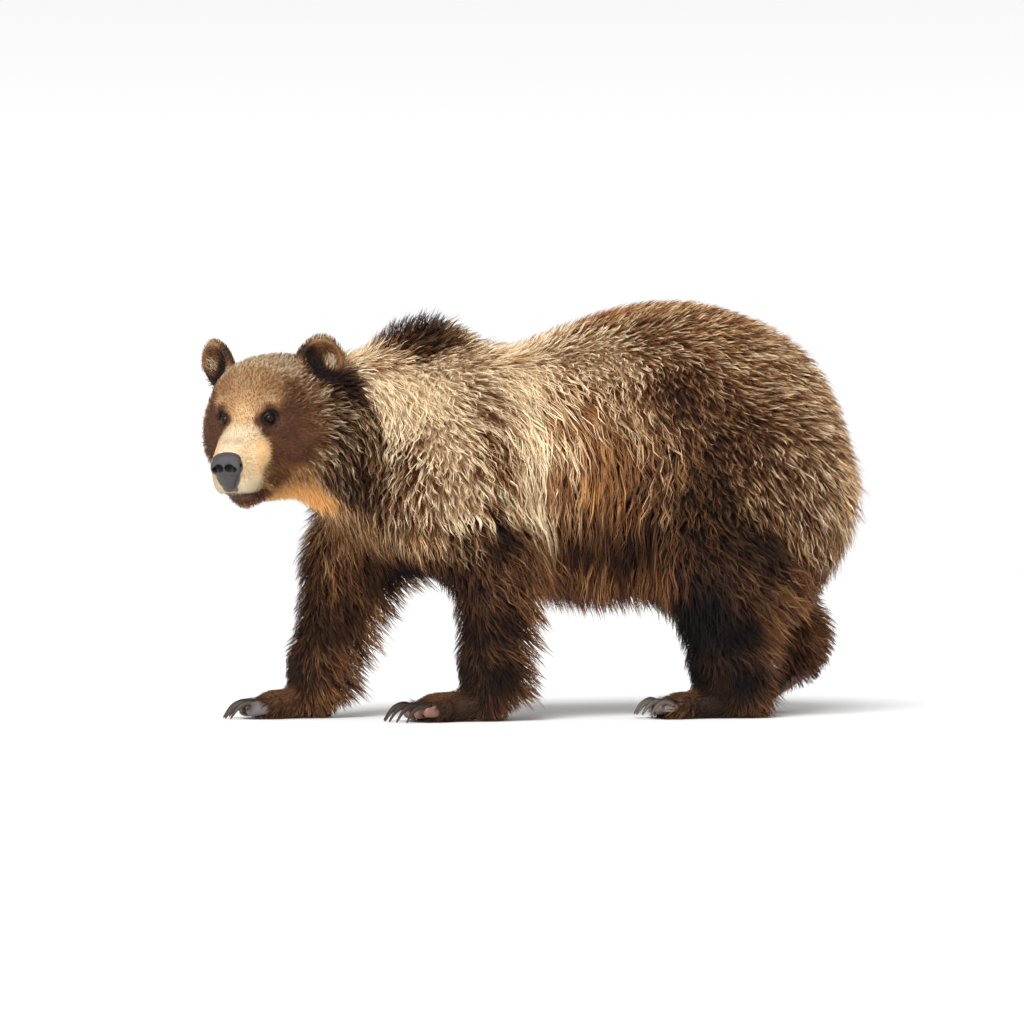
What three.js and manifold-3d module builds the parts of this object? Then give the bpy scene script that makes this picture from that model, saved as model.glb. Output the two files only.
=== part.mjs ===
// A brown bear in mid walk, life size, in millimetres. +Z is up, it walks towards -X, and its left side is -Y.
// The body is one smooth shape, worked out from its bones and masses as a distance function. It is meshed
// region by region, parted with thin cuts into head, neck, torso, legs and feet, and dressed with long locks.
import * as THREE from "three";
import { mergeVertices } from "three/addons/utils/BufferGeometryUtils.js";
import Module from "manifold-3d";

const wasm = await Module();
wasm.setup();

// ---------- Driving sizes ----------
const gap = 0.3; // between neighbouring solids
// Mesh steps of each region.
const cell = { torso: 78, neck: 52, leg: 52, foot: 36, toe: [23, 14, 18], head: 40, face: 17.5, tail: 26 };
// Where locks meet the body, edges shorter than this are dropped; on the head and the feet finer ones stay.
const seam = { body: 16, headLocks: 7, face: 13, backOfHead: 34, toes: 10, foot: 30 };

// Masses of the trunk: centre, half sizes, and pitch about Y in degrees (nose down is positive).
const trunk = {
  chest: { at: [-225, 0, 590], size: [205, 200, 225], pitch: 0 },
  hump: { at: [-210, 0, 795], size: [155, 92, 150], pitch: 0 },
  barrel: { at: [60, 0, 620], size: [420, 258, 275], pitch: 0 },
  belly: { at: [215, 0, 550], size: [340, 228, 150], pitch: 0 },
  rump: { at: [405, 0, 668], size: [435, 278, 338], pitch: 0 },
};
const shoulder = { at: [-195, 148, 590], size: [130, 98, 225], pitch: -8 };
const haunch = { at: [520, 148, 500], size: [215, 120, 250], pitch: 12 };
const buttock = { at: [655, 118, 520], size: [170, 125, 215], pitch: -6 };
const trunkBlend = 80;

// The neck runs from the withers to the back of the skull, and turns towards the bear's left.
const neck = {
  base: [-250, 0, 680],
  head: [-555, -68, 712],
  baseRadius: 205,
  headRadius: 146,
  throatDrop: 34,
};

const tail = { root: [835, 0, 640], tip: [872, 0, 548], rootRadius: 36, tipRadius: 26 };

// Legs: joints from the trunk down, with the radius at each. side is -1 on the left and +1 on the right.
const legs = {
  fore_left: {
    side: -1,
    joints: [[-215, 150, 560], [-95, 158, 385], [-98, 152, 110]],
    radii: [122, 98, 70],
    foot: { ball: [-232, 152, 36], heel: [-118, 152, 46], turn: -6, halfWidth: 60, toeReach: 58 },
  },
  fore_right: {
    side: 1,
    joints: [[-285, 152, 560], [-360, 160, 390], [-440, 154, 110]],
    radii: [122, 104, 70],
    foot: { ball: [-552, 142, 36], heel: [-462, 156, 46], turn: -14, halfWidth: 60, toeReach: 58 },
  },
  hind_left: {
    side: -1,
    joints: [[560, 150, 590], [462, 172, 365], [505, 165, 105]],
    radii: [165, 126, 84],
    foot: { ball: [374, 168, 34], heel: [553, 165, 44], turn: 3, halfWidth: 55, toeReach: 58 },
  },
  hind_right: {
    side: 1,
    joints: [[620, 150, 590], [645, 165, 390], [800, 152, 188]],
    radii: [165, 120, 72],
    foot: { ball: [682, 150, 36], heel: [820, 152, 140], turn: -4, halfWidth: 55, toeReach: 58 },
  },
};
const toe = { count: 5, radius: 16, tall: 1.7 };
const claw = {
  fore: { length: 68, root: 38, tip: 3 },
  hind: { length: 54, root: 42, tip: 12 },
  width: 5.5,
  height: 8,
};

// The head in its own frame: x forward from the middle of the skull, y to the bear's left, z up.
const headPose = { at: [-641, -106, 702], yaw: 55, pitch: 13.5, roll: 1, scale: 1.14 };
const skull = {
  cranium: { at: [-8, 0, 34], size: [118, 112, 106] },
  forehead: { at: [52, 0, 62], size: [60, 76, 52] },
  cheek: { at: [2, 72, -26], size: [86, 56, 78] },
  jowl: { at: [-50, 82, -38], size: [78, 56, 88] },
  throat: { at: [-40, 0, -82], size: [110, 84, 62] },
};
const muzzle = { root: [60, -8], rootRadius: 70, tip: [206, -42], tipRadius: 45 };
const lips = { at: [190, 18, -74], size: [46, 29, 32] };
const lowerJaw = { root: [10, -96], rootRadius: 52, tip: [170, -106], tipRadius: 28 };
const brow = { at: [78, 44, 52], size: [34, 26, 13] };
const eye = { at: [102, 46.5, 33], radius: 10.5, socket: 15, yaw: 36, lid: 1.38, opening: [11, 10.5, 7.4] };
const nosePad = { at: [242, 0, -35], size: [21, 31, 27] };
const nostril = { at: [261, 13, -37], size: [14, 6, 7], splay: 24 };
const ear = {
  at: [-50, 112, 116],
  size: [22, 52, 55],
  splay: 34,
  tilt: 14,
  cup: [22, 39, 42],
  cupForward: 17,
};
// The line of the mouth as x and z, the height of its slit, and the flesh that the slit doesn't cut.
const mouth = {
  line: [[262, -92], [205, -102], [165, -104], [132, -98], [106, -84]],
  slit: 3.2,
  core: { at: [148, 0, -96], size: [80, 33, 40] },
};

// Locks of the long coat: distance between roots, length, half width, thickness, how far the tips stand out,
// the way they lie, and how much they hang free of the body.
const coat = {
  flank: { spacing: 98, length: 225, halfWidth: 52, thick: 20, lift: 36, lie: [0.38, 0, -1], hang: 0.12 },
  rump: { spacing: 98, length: 165, halfWidth: 50, thick: 22, lift: 34, lie: [0.55, 0, -1], hang: 0 },
  back: { spacing: 96, length: 165, halfWidth: 46, thick: 18, lift: 26, lie: [1, 0, -0.15], hang: 0 },
  hump: { spacing: 56, length: 85, halfWidth: 25, thick: 16, lift: 40, lie: [1, 0, 0.15], hang: 0 },
  belly: { spacing: 68, length: 118, halfWidth: 27, thick: 15, lift: 10, lie: [0.25, 0, -1], hang: 1 },
  neck: { spacing: 78, length: 150, halfWidth: 36, thick: 20, lift: 34, lie: [0.5, 0.1, -1], hang: 0.15 },
  ruff: { spacing: 68, length: 105, halfWidth: 27, thick: 16, lift: 26, lie: [0.6, 0.15, -1], hang: 0.1 },
  chin: { spacing: 36, length: 34, halfWidth: 12, thick: 9, lift: 8, lie: [0.5, 0.5, -0.8], hang: 0.9 },
  leg: { spacing: 86, length: 125, halfWidth: 33, thick: 16, lift: 24, lie: [0.45, 0, -1], hang: 0 },
  fringe: { spacing: 62, length: 100, halfWidth: 22, thick: 13, lift: 24, lie: [0.75, 0, -1], hang: 0.55 },
  tail: { spacing: 30, length: 62, halfWidth: 15, thick: 11, lift: 12, lie: [0.1, 0, -1], hang: 0.3 },
};

// ---------- Distance functions: each takes [x, y, z] and is negative inside ----------
const rad = THREE.MathUtils.degToRad;
const mix = (a, b, t) => a + (b - a) * t;

function ellipsoid({ at, size, pitch = 0 }) {
  const c = Math.cos(rad(pitch));
  const s = Math.sin(rad(pitch));
  return ([x, y, z]) => {
    const dx = x - at[0];
    const dz = z - at[2];
    const q = [c * dx + s * dz, y - at[1], c * dz - s * dx];
    const far = Math.hypot(q[0] / size[0], q[1] / size[1], q[2] / size[2]);
    const slope = Math.hypot(q[0] / size[0] ** 2, q[1] / size[1] ** 2, q[2] / size[2] ** 2);
    return slope > 1e-9 ? (far * (far - 1)) / slope : -Math.min(...size);
  };
}

// A limb that tapers from radius ra at a to rb at b.
function limb(a, b, ra, rb) {
  const axis = b.map((v, i) => v - a[i]);
  const length2 = axis.reduce((sum, v) => sum + v * v, 0);
  return (p) => {
    const along = axis.reduce((sum, v, i) => sum + v * (p[i] - a[i]), 0) / length2;
    const t = Math.min(1, Math.max(0, along));
    return Math.hypot(...axis.map((v, i) => p[i] - a[i] - v * t)) - mix(ra, rb, t);
  };
}

// Shapes flow into each other over about the width k.
function blend(k, ...shapes) {
  return (p) =>
    shapes.reduce((d, shape) => {
      const e = shape(p);
      const h = Math.max(k - Math.abs(d - e), 0) / k;
      return Math.min(d, e) - (h * h * k) / 4;
    }, 1e9);
}

const carve = (k, base, cut) => {
  const joined = blend(k, (p) => -base(p), cut);
  return (p) => -joined(p);
};
const paired = (shape) => (p) => shape([p[0], Math.abs(p[1]), p[2]]);
const onSide = (side, shape) => (p) => shape([p[0], p[1] * side, p[2]]);

function slopeOf(shape, p) {
  const step = 0.5;
  const g = [0, 1, 2].map((i) => {
    const a = [...p];
    const b = [...p];
    a[i] -= step;
    b[i] += step;
    return (shape(b) - shape(a)) / (2 * step);
  });
  return new THREE.Vector3(...g);
}

// Moves a point to the nearest place where the shape's distance is zero.
function settle(shape, point, steps = 3) {
  const p = point.clone();
  for (let i = 0; i < steps; i++) {
    const g = slopeOf(shape, p.toArray());
    p.addScaledVector(g, -shape(p.toArray()) / Math.max(g.lengthSq(), 0.2));
  }
  return p;
}

// ---------- The bear's shape ----------
const headMatrix = new THREE.Matrix4()
  .makeTranslation(...headPose.at)
  .multiply(new THREE.Matrix4().makeRotationZ(rad(180 + headPose.yaw)))
  .multiply(new THREE.Matrix4().makeRotationY(rad(headPose.pitch)))
  .multiply(new THREE.Matrix4().makeRotationX(rad(headPose.roll)))
  .scale(new THREE.Vector3().setScalar(headPose.scale));
const intoHead = headMatrix.clone().invert();
const inHead = (shape) => (p) => {
  const local = new THREE.Vector3(...p).applyMatrix4(intoHead);
  return headPose.scale * shape(local.toArray());
};

function makeHeadShape() {
  const middleLimb = ({ root, tip, rootRadius, tipRadius }) =>
    limb([root[0], 0, root[1]], [tip[0], 0, tip[1]], rootRadius, tipRadius);
  const mass = blend(
    38,
    ellipsoid(skull.cranium),
    ellipsoid(skull.forehead),
    paired(ellipsoid(skull.cheek)),
    paired(ellipsoid(skull.jowl)),
    ellipsoid(skull.throat),
    middleLimb(muzzle),
    middleLimb(lowerJaw),
  );
  const face = blend(16, mass, paired(ellipsoid(lips)), paired(ellipsoid(brow)));
  const middle = [eye.at[0] + 8, eye.at[1] + 9, eye.at[2]];
  const socket = paired((p) => Math.hypot(...p.map((v, i) => v - middle[i])) - eye.socket);
  return carve(12, face, socket);
}
const headShape = makeHeadShape();

const neckShape = blend(
  60,
  limb(neck.base, neck.head, neck.baseRadius, neck.headRadius),
  limb(
    [neck.base[0] - 40, neck.base[1], neck.base[2] - 3 * neck.throatDrop],
    [neck.head[0] + 20, neck.head[1], neck.head[2] - neck.throatDrop],
    neck.baseRadius * 0.75,
    neck.headRadius * 0.8,
  ),
);

// A foot: heel, ball, and a row of toes that point forward, in the leg's own side.
function footShape({ ball, heel, turn, halfWidth, toeReach }) {
  const sole = limb(heel, ball, halfWidth * 0.74, halfWidth * 0.8);
  const low = ([x, y, z]) => [x, y, z / toe.tall];
  const toes = toesOf({ ball, turn, halfWidth, toeReach });
  const row = blend(8, ...toes.map(({ root, tip }) => limb(low(root), low(tip), toe.radius + 4, toe.radius)));
  const foot = blend(20, sole, (p) => row(low(p)));
  const flat = 1.45; // feet are wider than they are high
  return ([x, y, z]) => foot([x, y, z < ball[2] ? z : ball[2] + (z - ball[2]) * flat]);
}

// Roots and tips of the five toes, with the direction that they point in.
function toesOf({ ball, turn, halfWidth, toeReach }) {
  return Array.from({ length: toe.count }, (_, i) => {
    const across = (i - (toe.count - 1) / 2) / ((toe.count - 1) / 2);
    const angle = rad(180 + turn - across * 9);
    const forward = [Math.cos(angle), Math.sin(angle)];
    const side = [-Math.sin(rad(turn)), Math.cos(rad(turn))];
    const reach = toeReach * (1 - 0.24 * across * across);
    const spread = across * halfWidth * 0.8;
    const root = [ball[0] + side[0] * spread, ball[1] + side[1] * spread, 34];
    const tip = [root[0] + forward[0] * reach, root[1] + forward[1] * reach + side[1] * across * 6, 27];
    return { root, tip, forward };
  });
}

function legShape({ joints, radii, foot }) {
  const bones = [
    limb(joints[0], joints[1], radii[0], radii[1]),
    limb(joints[1], joints[2], radii[1] * 0.94, radii[2]),
    limb(joints[2], foot.heel, radii[2], foot.halfWidth * 0.7),
    footShape(foot),
  ];
  return blend(46, ...bones);
}

const trunkShape = blend(
  trunkBlend,
  ...Object.values(trunk).map(ellipsoid),
  paired(ellipsoid(shoulder)),
  paired(ellipsoid(haunch)),
  paired(ellipsoid(buttock)),
);
const legShapes = Object.values(legs).map((leg) => onSide(leg.side, legShape(leg)));
const bodyShape = blend(70, trunkShape, neckShape, ...legShapes);
const bear = blend(55, bodyShape, inHead(headShape));
const tailShape = limb(tail.root, tail.tip, tail.rootRadius, tail.tipRadius);

// ---------- Meshing ----------
// Grid lines from lo to hi: fine steps between from and to, coarse steps elsewhere.
function gridLines(lo, hi, coarse, from = hi, to = hi, fine = coarse) {
  const values = [lo];
  while (values.at(-1) < hi) {
    const v = values.at(-1);
    values.push(v + (v >= from && v < to ? fine : coarse));
  }
  return values;
}
const evenGrid = (lo, hi, size) => lo.map((v, a) => gridLines(v, hi[a], size));

// The zero surface of a shape on a grid, by surface nets: one vertex in each cell that the surface crosses.
function netOf(shape, grid) {
  const count = grid.map((values) => values.length);
  const place = (i, j, k) => [grid[0][i], grid[1][j], grid[2][k]];
  const at = (i, j, k) => (k * count[1] + j) * count[0] + i;
  const field = new Float64Array(count[0] * count[1] * count[2]);
  const onEdge = (...n) => n.some((v, a) => v === 0 || v === count[a] - 1);
  eachCell(count, (i, j, k) => {
    field[at(i, j, k)] = onEdge(i, j, k) ? Math.max(shape(place(i, j, k)), 0.01) : shape(place(i, j, k));
  });

  const points = [];
  const pointOf = new Int32Array(field.length).fill(-1);
  eachCell(count.map((n) => n - 1), (i, j, k) => {
    const sum = new THREE.Vector3();
    let crossings = 0;
    for (const [a, b] of cellEdges) {
      const [pa, pb] = [a, b].map(([u, v, w]) => [i + u, j + v, k + w]);
      const [fa, fb] = [field[at(...pa)], field[at(...pb)]];
      if (fa < 0 === fb < 0) continue;
      sum.add(new THREE.Vector3(...place(...pa)).lerp(new THREE.Vector3(...place(...pb)), fa / (fa - fb)));
      crossings++;
    }
    if (!crossings) return;
    const mean = sum.divideScalar(crossings);
    const settled = settle(shape, mean);
    pointOf[at(i, j, k)] = points.length;
    const smallest = Math.min(...[i, j, k].map((n, a) => grid[a][n + 1] - grid[a][n]));
    points.push(settled.distanceTo(mean) < 0.5 * smallest ? settled : mean);
  });

  const faces = [];
  eachCell(count.map((n) => n - 1), (i, j, k) => {
    for (let axis = 0; axis < 3; axis++) {
      const step = [0, 1, 2].map((a) => Number(a === axis));
      const u = [0, 1, 2].map((a) => Number(a === (axis + 1) % 3));
      const v = [0, 1, 2].map((a) => Number(a === (axis + 2) % 3));
      const here = [i, j, k];
      if (here.some((n, a) => n < u[a] + v[a])) continue;
      const inside = field[at(i, j, k)] < 0;
      if (inside === field[at(...here.map((n, a) => n + step[a]))] < 0) continue;
      const corners = [[0, 0], [1, 0], [1, 1], [0, 1]];
      const ring = corners.map(([m, n]) => pointOf[at(...here.map((h, a) => h - m * u[a] - n * v[a]))]);
      if (!inside) ring.reverse();
      const [p, q, r, s] = ring.map((n) => points[n]);
      if (p.distanceTo(r) < q.distanceTo(s)) faces.push(ring[0], ring[1], ring[2], ring[0], ring[2], ring[3]);
      else faces.push(ring[0], ring[1], ring[3], ring[1], ring[2], ring[3]);
    }
  });
  return meshOf(points, faces);
}

const cellEdges = [];
for (let axis = 0; axis < 3; axis++)
  for (const u of [0, 1])
    for (const v of [0, 1]) {
      const from = [0, 0, 0];
      from[(axis + 1) % 3] = u;
      from[(axis + 2) % 3] = v;
      const to = [...from];
      to[axis] = 1;
      cellEdges.push([from, to]);
    }

function eachCell([nx, ny, nz], visit) {
  for (let k = 0; k < nz; k++) for (let j = 0; j < ny; j++) for (let i = 0; i < nx; i++) visit(i, j, k);
}

function meshOf(points, faces) {
  return new THREE.BufferGeometry()
    .setAttribute("position", new THREE.Float32BufferAttribute(points.flatMap((p) => p.toArray()), 3))
    .setIndex(faces);
}

// A closed horn along a path: a ring of the section at each point but the last, which is the tip.
function horn(path, halfWidths, heights, up, section) {
  const points = [];
  const faces = [];
  const n = section.length;
  path.slice(0, -1).forEach((p, i) => {
    const along = path[i + 1].clone().sub(path[Math.max(0, i - 1)]).normalize();
    const side = new THREE.Vector3().crossVectors(along, up[i]).normalize();
    const lift = new THREE.Vector3().crossVectors(side, along);
    for (const [w, h] of section) {
      points.push(p.clone().addScaledVector(side, w * halfWidths[i]).addScaledVector(lift, h * heights[i]));
    }
  });
  const tip = points.push(path.at(-1)) - 1;
  for (let i = 1; i < n - 1; i++) faces.push(0, i, i + 1);
  for (let ring = 0; ring < path.length - 1; ring++)
    for (let i = 0; i < n; i++) {
      const [a, b] = [ring * n + i, ring * n + ((i + 1) % n)];
      if (ring === path.length - 2) faces.push(b, a, tip);
      else faces.push(b, a, b + n, a, a + n, b + n);
    }
  return meshOf(points, faces);
}

// ---------- Solids ----------
function solid(geometry) {
  const bare = geometry.clone();
  for (const name of ["normal", "uv"]) if (bare.getAttribute(name)) bare.deleteAttribute(name);
  const { attributes, index } = mergeVertices(bare, 1e-3);
  const vertProperties = new Float32Array(attributes.position.array);
  const triVerts = new Uint32Array(index.array);
  return new wasm.Manifold(new wasm.Mesh({ numProp: 3, vertProperties, triVerts }));
}

// The largest closed surface of a solid, which drops loose scraps and fills sealed hollows.
function largest(manifold) {
  const bodies = manifold.decompose();
  return bodies.reduce((best, body) => (body.volume() > best.volume() ? body : best));
}

function geometryOf(manifold) {
  const { numVert, numProp, vertProperties, triVerts } = manifold.getMesh();
  const positions = new Float32Array(numVert * 3);
  for (let i = 0; i < numVert; i++) {
    positions.set(vertProperties.subarray(i * numProp, i * numProp + 3), i * 3);
  }
  return new THREE.BufferGeometry()
    .setAttribute("position", new THREE.BufferAttribute(positions, 3))
    .setIndex(new THREE.BufferAttribute(triVerts, 1));
}

// Merges vertices along edges for as long as mayMerge(kept, dropped, faces of the dropped one) allows it and
// the surface stays closed.
function merged(points, triangles, mayMerge) {
  let faces = triangles;
  for (let drops = new Map([[-1, -1]]); drops.size; ) {
    drops = new Map();
    const fans = new Map();
    for (const face of faces) for (const v of face) fans.set(v, [...(fans.get(v) ?? []), face]);
    const held = new Set();
    for (const [b, fan] of fans) {
      if (held.has(b)) continue;
      const ring = new Set(fan.flat());
      for (const a of ring) {
        if (a === b || held.has(a) || !mayMerge(a, b, fan)) continue;
        const beyond = new Set(fans.get(a).flat());
        const shared = [...ring].filter((v) => v !== a && v !== b && beyond.has(v));
        if (shared.length !== 2) continue;
        drops.set(b, a);
        for (const v of [...ring, ...beyond]) held.add(v);
        break;
      }
    }
    const moved = faces.map((face) => face.map((v) => drops.get(v) ?? v));
    faces = moved.filter((face) => new Set(face).size === 3);
  }
  return meshOf(points, faces.flat());
}

function pointsOf(geometry, name = "position") {
  const values = geometry.attributes[name];
  return Array.from({ length: values.count }, (_, i) => new THREE.Vector3().fromBufferAttribute(values, i));
}
const trianglesOf = ({ index }) =>
  Array.from({ length: index.count / 3 }, (_, i) => [...index.array.slice(3 * i, 3 * i + 3)]);

// Draws apart the corners where a surface only touches itself, and drops edges too short to matter.
function withoutSlivers(geometry, shortest = 0.2) {
  geometry.computeVertexNormals();
  const points = pointsOf(geometry);
  const normals = pointsOf(geometry, "normal");
  const places = new Map();
  for (const [i, p] of points.entries()) {
    const place = p.toArray().join();
    places.set(place, [...(places.get(place) ?? []), i]);
  }
  for (const same of places.values()) {
    if (same.length > 1) for (const i of same) points[i].addScaledVector(normals[i], -0.1);
  }
  return merged(points, trianglesOf(geometry), (a, b) => points[a].distanceTo(points[b]) < shortest);
}

// Drops edges shorter than shortest(point) where no face turns over, but none on the cuts around the region.
function coarser(manifold, region, shortest) {
  const points = pointsOf(geometryOf(manifold));
  const free = points.map((p) => depthIn(region, p) > 1);
  const facing = (face) => {
    const [a, b, c] = face.map((v) => points[v]);
    return b.clone().sub(a).cross(c.clone().sub(a));
  };
  const turns = (face, a, b) => {
    const before = facing(face);
    const after = facing(face.map((v) => (v === b ? a : v)));
    return before.dot(after) < 0.55 * before.length() * after.length() || after.length() < 4;
  };
  let geometry = geometryOf(manifold);
  for (const share of [0.3, 0.6, 1])
    geometry = merged(points, trianglesOf(geometry), (a, b, fan) => {
      if (!free[a] || !free[b] || points[a].distanceTo(points[b]) > share * shortest(points[b])) return false;
      return !fan.some((face) => !face.includes(a) && turns(face, a, b));
    });
  return solid(geometry);
}

// A copy whose surface stands out by a small distance, to cut away what would touch it.
function grown(manifold, by = gap + 0.15) {
  const geometry = geometryOf(manifold);
  geometry.computeVertexNormals();
  const normals = pointsOf(geometry, "normal");
  const points = pointsOf(geometry).map((p, i) => p.addScaledVector(normals[i], by));
  return solid(meshOf(points, [...geometry.index.array]));
}

// A cutting plane: a point on it, and the way out of the part that is kept.
function plane(point, out) {
  return { point: new THREE.Vector3(...point), out: new THREE.Vector3(...out).normalize() };
}
const other = ({ point, out }) => ({ point, out: out.clone().negate() });
const outside = (cut, p) => cut.out.dot(p.clone().sub(cut.point)); // positive past the plane

function trimmed(manifold, cuts, room = gap / 2) {
  const size = 4000;
  return cuts.reduce((kept, cut) => {
    const block = new THREE.BoxGeometry(size, size, size).translate(0, 0, size / 2 - room);
    block.applyQuaternion(new THREE.Quaternion().setFromUnitVectors(new THREE.Vector3(0, 0, 1), cut.out));
    block.translate(...cut.point.toArray());
    return kept.subtract(solid(block));
  }, manifold);
}

// ---------- Where the body is parted ----------
const floor = plane([0, 0, 0], [0, 0, -1]);
const nape = plane([-474, -70, 712], [-0.75, -0.66, -0.05]); // neck ends, head begins
const collar = plane([-365, 0, 650], [-0.9, -0.12, 0.38]); // torso ends, neck begins
// For each leg: the planes that part it from the trunk, then its elbow or knee, then its wrist or ankle.
const legCuts = {
  fore_left: {
    trunk: [plane([-150, -55, 350], [0, 0.74, 0.67]), plane([45, -150, 440], [0.99, 0, -0.08])],
    bend: plane([-95, -158, 330], [0, 0, 1]),
    end: plane([-98, -152, 108], [0, 0, 1]),
  },
  fore_right: {
    trunk: [plane([-300, 55, 350], [0, -0.74, 0.67]), plane([-190, 150, 440], [0.96, 0, -0.28])],
    bend: plane([-370, 158, 330], [0.28, 0, 0.96]),
    end: plane([-440, 152, 112], [0.28, 0, 0.96]),
  },
  hind_left: {
    trunk: [plane([450, -50, 350], [0, 0.74, 0.67]), plane([310, -150, 440], [-1, 0, 0])],
    bend: plane([470, -168, 320], [-0.15, 0, 0.99]),
    end: plane([505, -165, 104], [0, 0, 1]),
  },
  hind_right: {
    trunk: [plane([560, 50, 350], [0, -0.74, 0.67]), plane([385, 150, 440], [-1, 0, 0])],
    bend: plane([665, 165, 340], [-0.6, 0, 0.8]),
    end: plane([790, 152, 190], [-0.45, 0, 0.89]),
  },
};

for (const [name, { side }] of Object.entries(legs)) {
  legCuts[name].trunk.push(plane([0, 20 * side, 0], [0, -side, 0])); // no leg reaches the middle of the body
}
const allLegs = Object.values(legCuts).map((cuts) => cuts.trunk);

// Each node of the body lies within all of its own planes, and outside of each other set of planes.
const regions = {
  torso: { within: [collar], without: allLegs },
  neck: { within: [other(collar), nape], without: allLegs },
  head: { within: [other(nape), other(collar)], without: [] },
};

function partOf(body, { within, without }) {
  const size = 2600;
  const space = solid(new THREE.BoxGeometry(size, size, size));
  return without.reduce((kept, cuts) => kept.subtract(trimmed(space, cuts, -gap / 2)), trimmed(body, within));
}

// How deep a point lies in a region; negative outside.
function depthIn({ within, without }, p) {
  const fromOthers = without.map((cuts) => Math.max(...cuts.map((cut) => outside(cut, p))));
  return Math.min(...within.map((cut) => -outside(cut, p)), ...fromOthers);
}

// ---------- The coat ----------
// A repeatable stream of random numbers from 0 to 1.
function dice(seed) {
  let state = seed;
  return () => {
    state = (state + 0x6d2b79f5) | 0;
    let t = Math.imul(state ^ (state >>> 15), 1 | state);
    t = (t + Math.imul(t ^ (t >>> 7), 61 | t)) ^ t;
    return ((t ^ (t >>> 14)) >>> 0) / 4294967296;
  };
}

// Points spread evenly at random over a solid's surface.
function* scatter(manifold, random, tries) {
  const geometry = geometryOf(manifold);
  const points = pointsOf(geometry);
  const triangles = [];
  let total = 0;
  for (const [a, b, c] of trianglesOf(geometry)) {
    const triangle = new THREE.Triangle(points[a], points[b], points[c]);
    total += triangle.getArea();
    triangles.push({ triangle, upTo: total });
  }
  for (let i = 0; i < tries; i++) {
    const pick = random() * total;
    const { triangle } = triangles.find(({ upTo }) => upTo >= pick);
    const [u, v] = [Math.sqrt(random()), random()];
    yield new THREE.Vector3()
      .addScaledVector(triangle.a, 1 - u)
      .addScaledVector(triangle.b, u * (1 - v))
      .addScaledVector(triangle.c, u * v);
  }
}

function normalAt(shape, p) {
  return slopeOf(shape, p.toArray()).normalize();
}

// One flat, tapering lock: its root is sunk in the body, and it follows the surface, lifting towards its tip.
function lockPath(shape, root, style, length, sway) {
  const normal = normalAt(shape, root);
  const lie = new THREE.Vector3(...style.lie).normalize();
  const along = lie.clone().addScaledVector(normal, -lie.dot(normal)).normalize();
  const side = new THREE.Vector3().crossVectors(normal, along);
  const stations = [[0, -10, 0], [0.3, 6, 0.5], [0.66, 0.66 * style.lift, -0.4], [1, style.lift, 0.7]];
  const up = [];
  const path = stations.map(([share, rise, bend]) => {
    const wander = along.clone().multiplyScalar(share * length).addScaledVector(side, bend * sway);
    const onBody = settle(shape, root.clone().add(wander));
    const lift = normalAt(shape, onBody);
    up.push(lift.clone().lerp(normal, share * style.hang));
    const free = root.clone().addScaledVector(lie, share * length);
    free.addScaledVector(side, bend * sway).addScaledVector(normal, rise);
    return onBody.addScaledVector(lift, rise).lerp(free, share * style.hang);
  });
  return { path, up };
}

// Dresses a body in locks: styleOf names the coat's style at a point, or nothing where the coat is short.
const lockSection = [[-1, 0], [1, 0], [0, 1]];
function dressed(body, shape, region, styleOf, seed) {
  const random = dice(seed);
  const roots = [];
  let dressedBody = body;
  for (const point of scatter(body, random, 4000)) {
    const normal = normalAt(shape, point);
    const name = styleOf(point, normal);
    if (!name || depthIn(region, point) < 6) continue;
    const style = coat[name];
    if (roots.some((root) => root.point.distanceTo(point) < (root.spacing + style.spacing) / 2)) continue;
    const length = style.length * (0.85 + 0.3 * random());
    const halfWidth = style.halfWidth * (0.88 + 0.24 * random());
    const sway = style.length * 0.22 * (random() - 0.5);
    const lengths = [1, 0.8, 0.6, 0.42]; // the longest of these that stays within the region
    const fits = lengths.map((share) => ({ share, ...lockPath(shape, point, style, length * share, sway) }));
    const found = fits.find(({ path }) => path.every((p) => depthIn(region, p) > 4 && p.z > 6));
    if (!found) continue;
    roots.push({ point, spacing: style.spacing });
    const widths = [0.62, 1, 0.72].map((w) => w * halfWidth * Math.sqrt(found.share));
    const heights = [0.9, 1, 0.7].map((h) => h * style.thick);
    dressedBody = dressedBody.add(solid(horn(found.path, widths, heights, found.up, lockSection)));
  }
  return dressedBody;
}

// ---------- The nodes ----------
const group = new THREE.Group();
const colours = {
  coat: 0x8a6540,
  dark: 0x3c2a20,
  tan: 0xc49a66,
  nose: 0x3a3538,
  eye: 0x1c120c,
  horn: 0x5a5048,
};
const seeds = {
  tail: 5,
  torso: 11,
  neck: 12,
  head: 21,
  fore_left: 31,
  fore_right: 41,
  hind_left: 51,
  hind_right: 61,
};
function addNode(name, manifold, colour, roughness = 0.9) {
  const material = new THREE.MeshStandardMaterial({ color: colour, roughness, metalness: 0 });
  const mesh = new THREE.Mesh(withoutSlivers(geometryOf(largest(manifold))), material);
  mesh.name = name;
  group.add(mesh);
}

// A region of the body with its locks, which may be kept to a smaller space than the region.
function dressedPart(body, region, styleOf, seed, lockSpace = region) {
  const locked = dressed(partOf(body, region), bear, lockSpace, styleOf, seed);
  return coarser(partOf(locked, region), region, () => seam.body);
}

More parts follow.
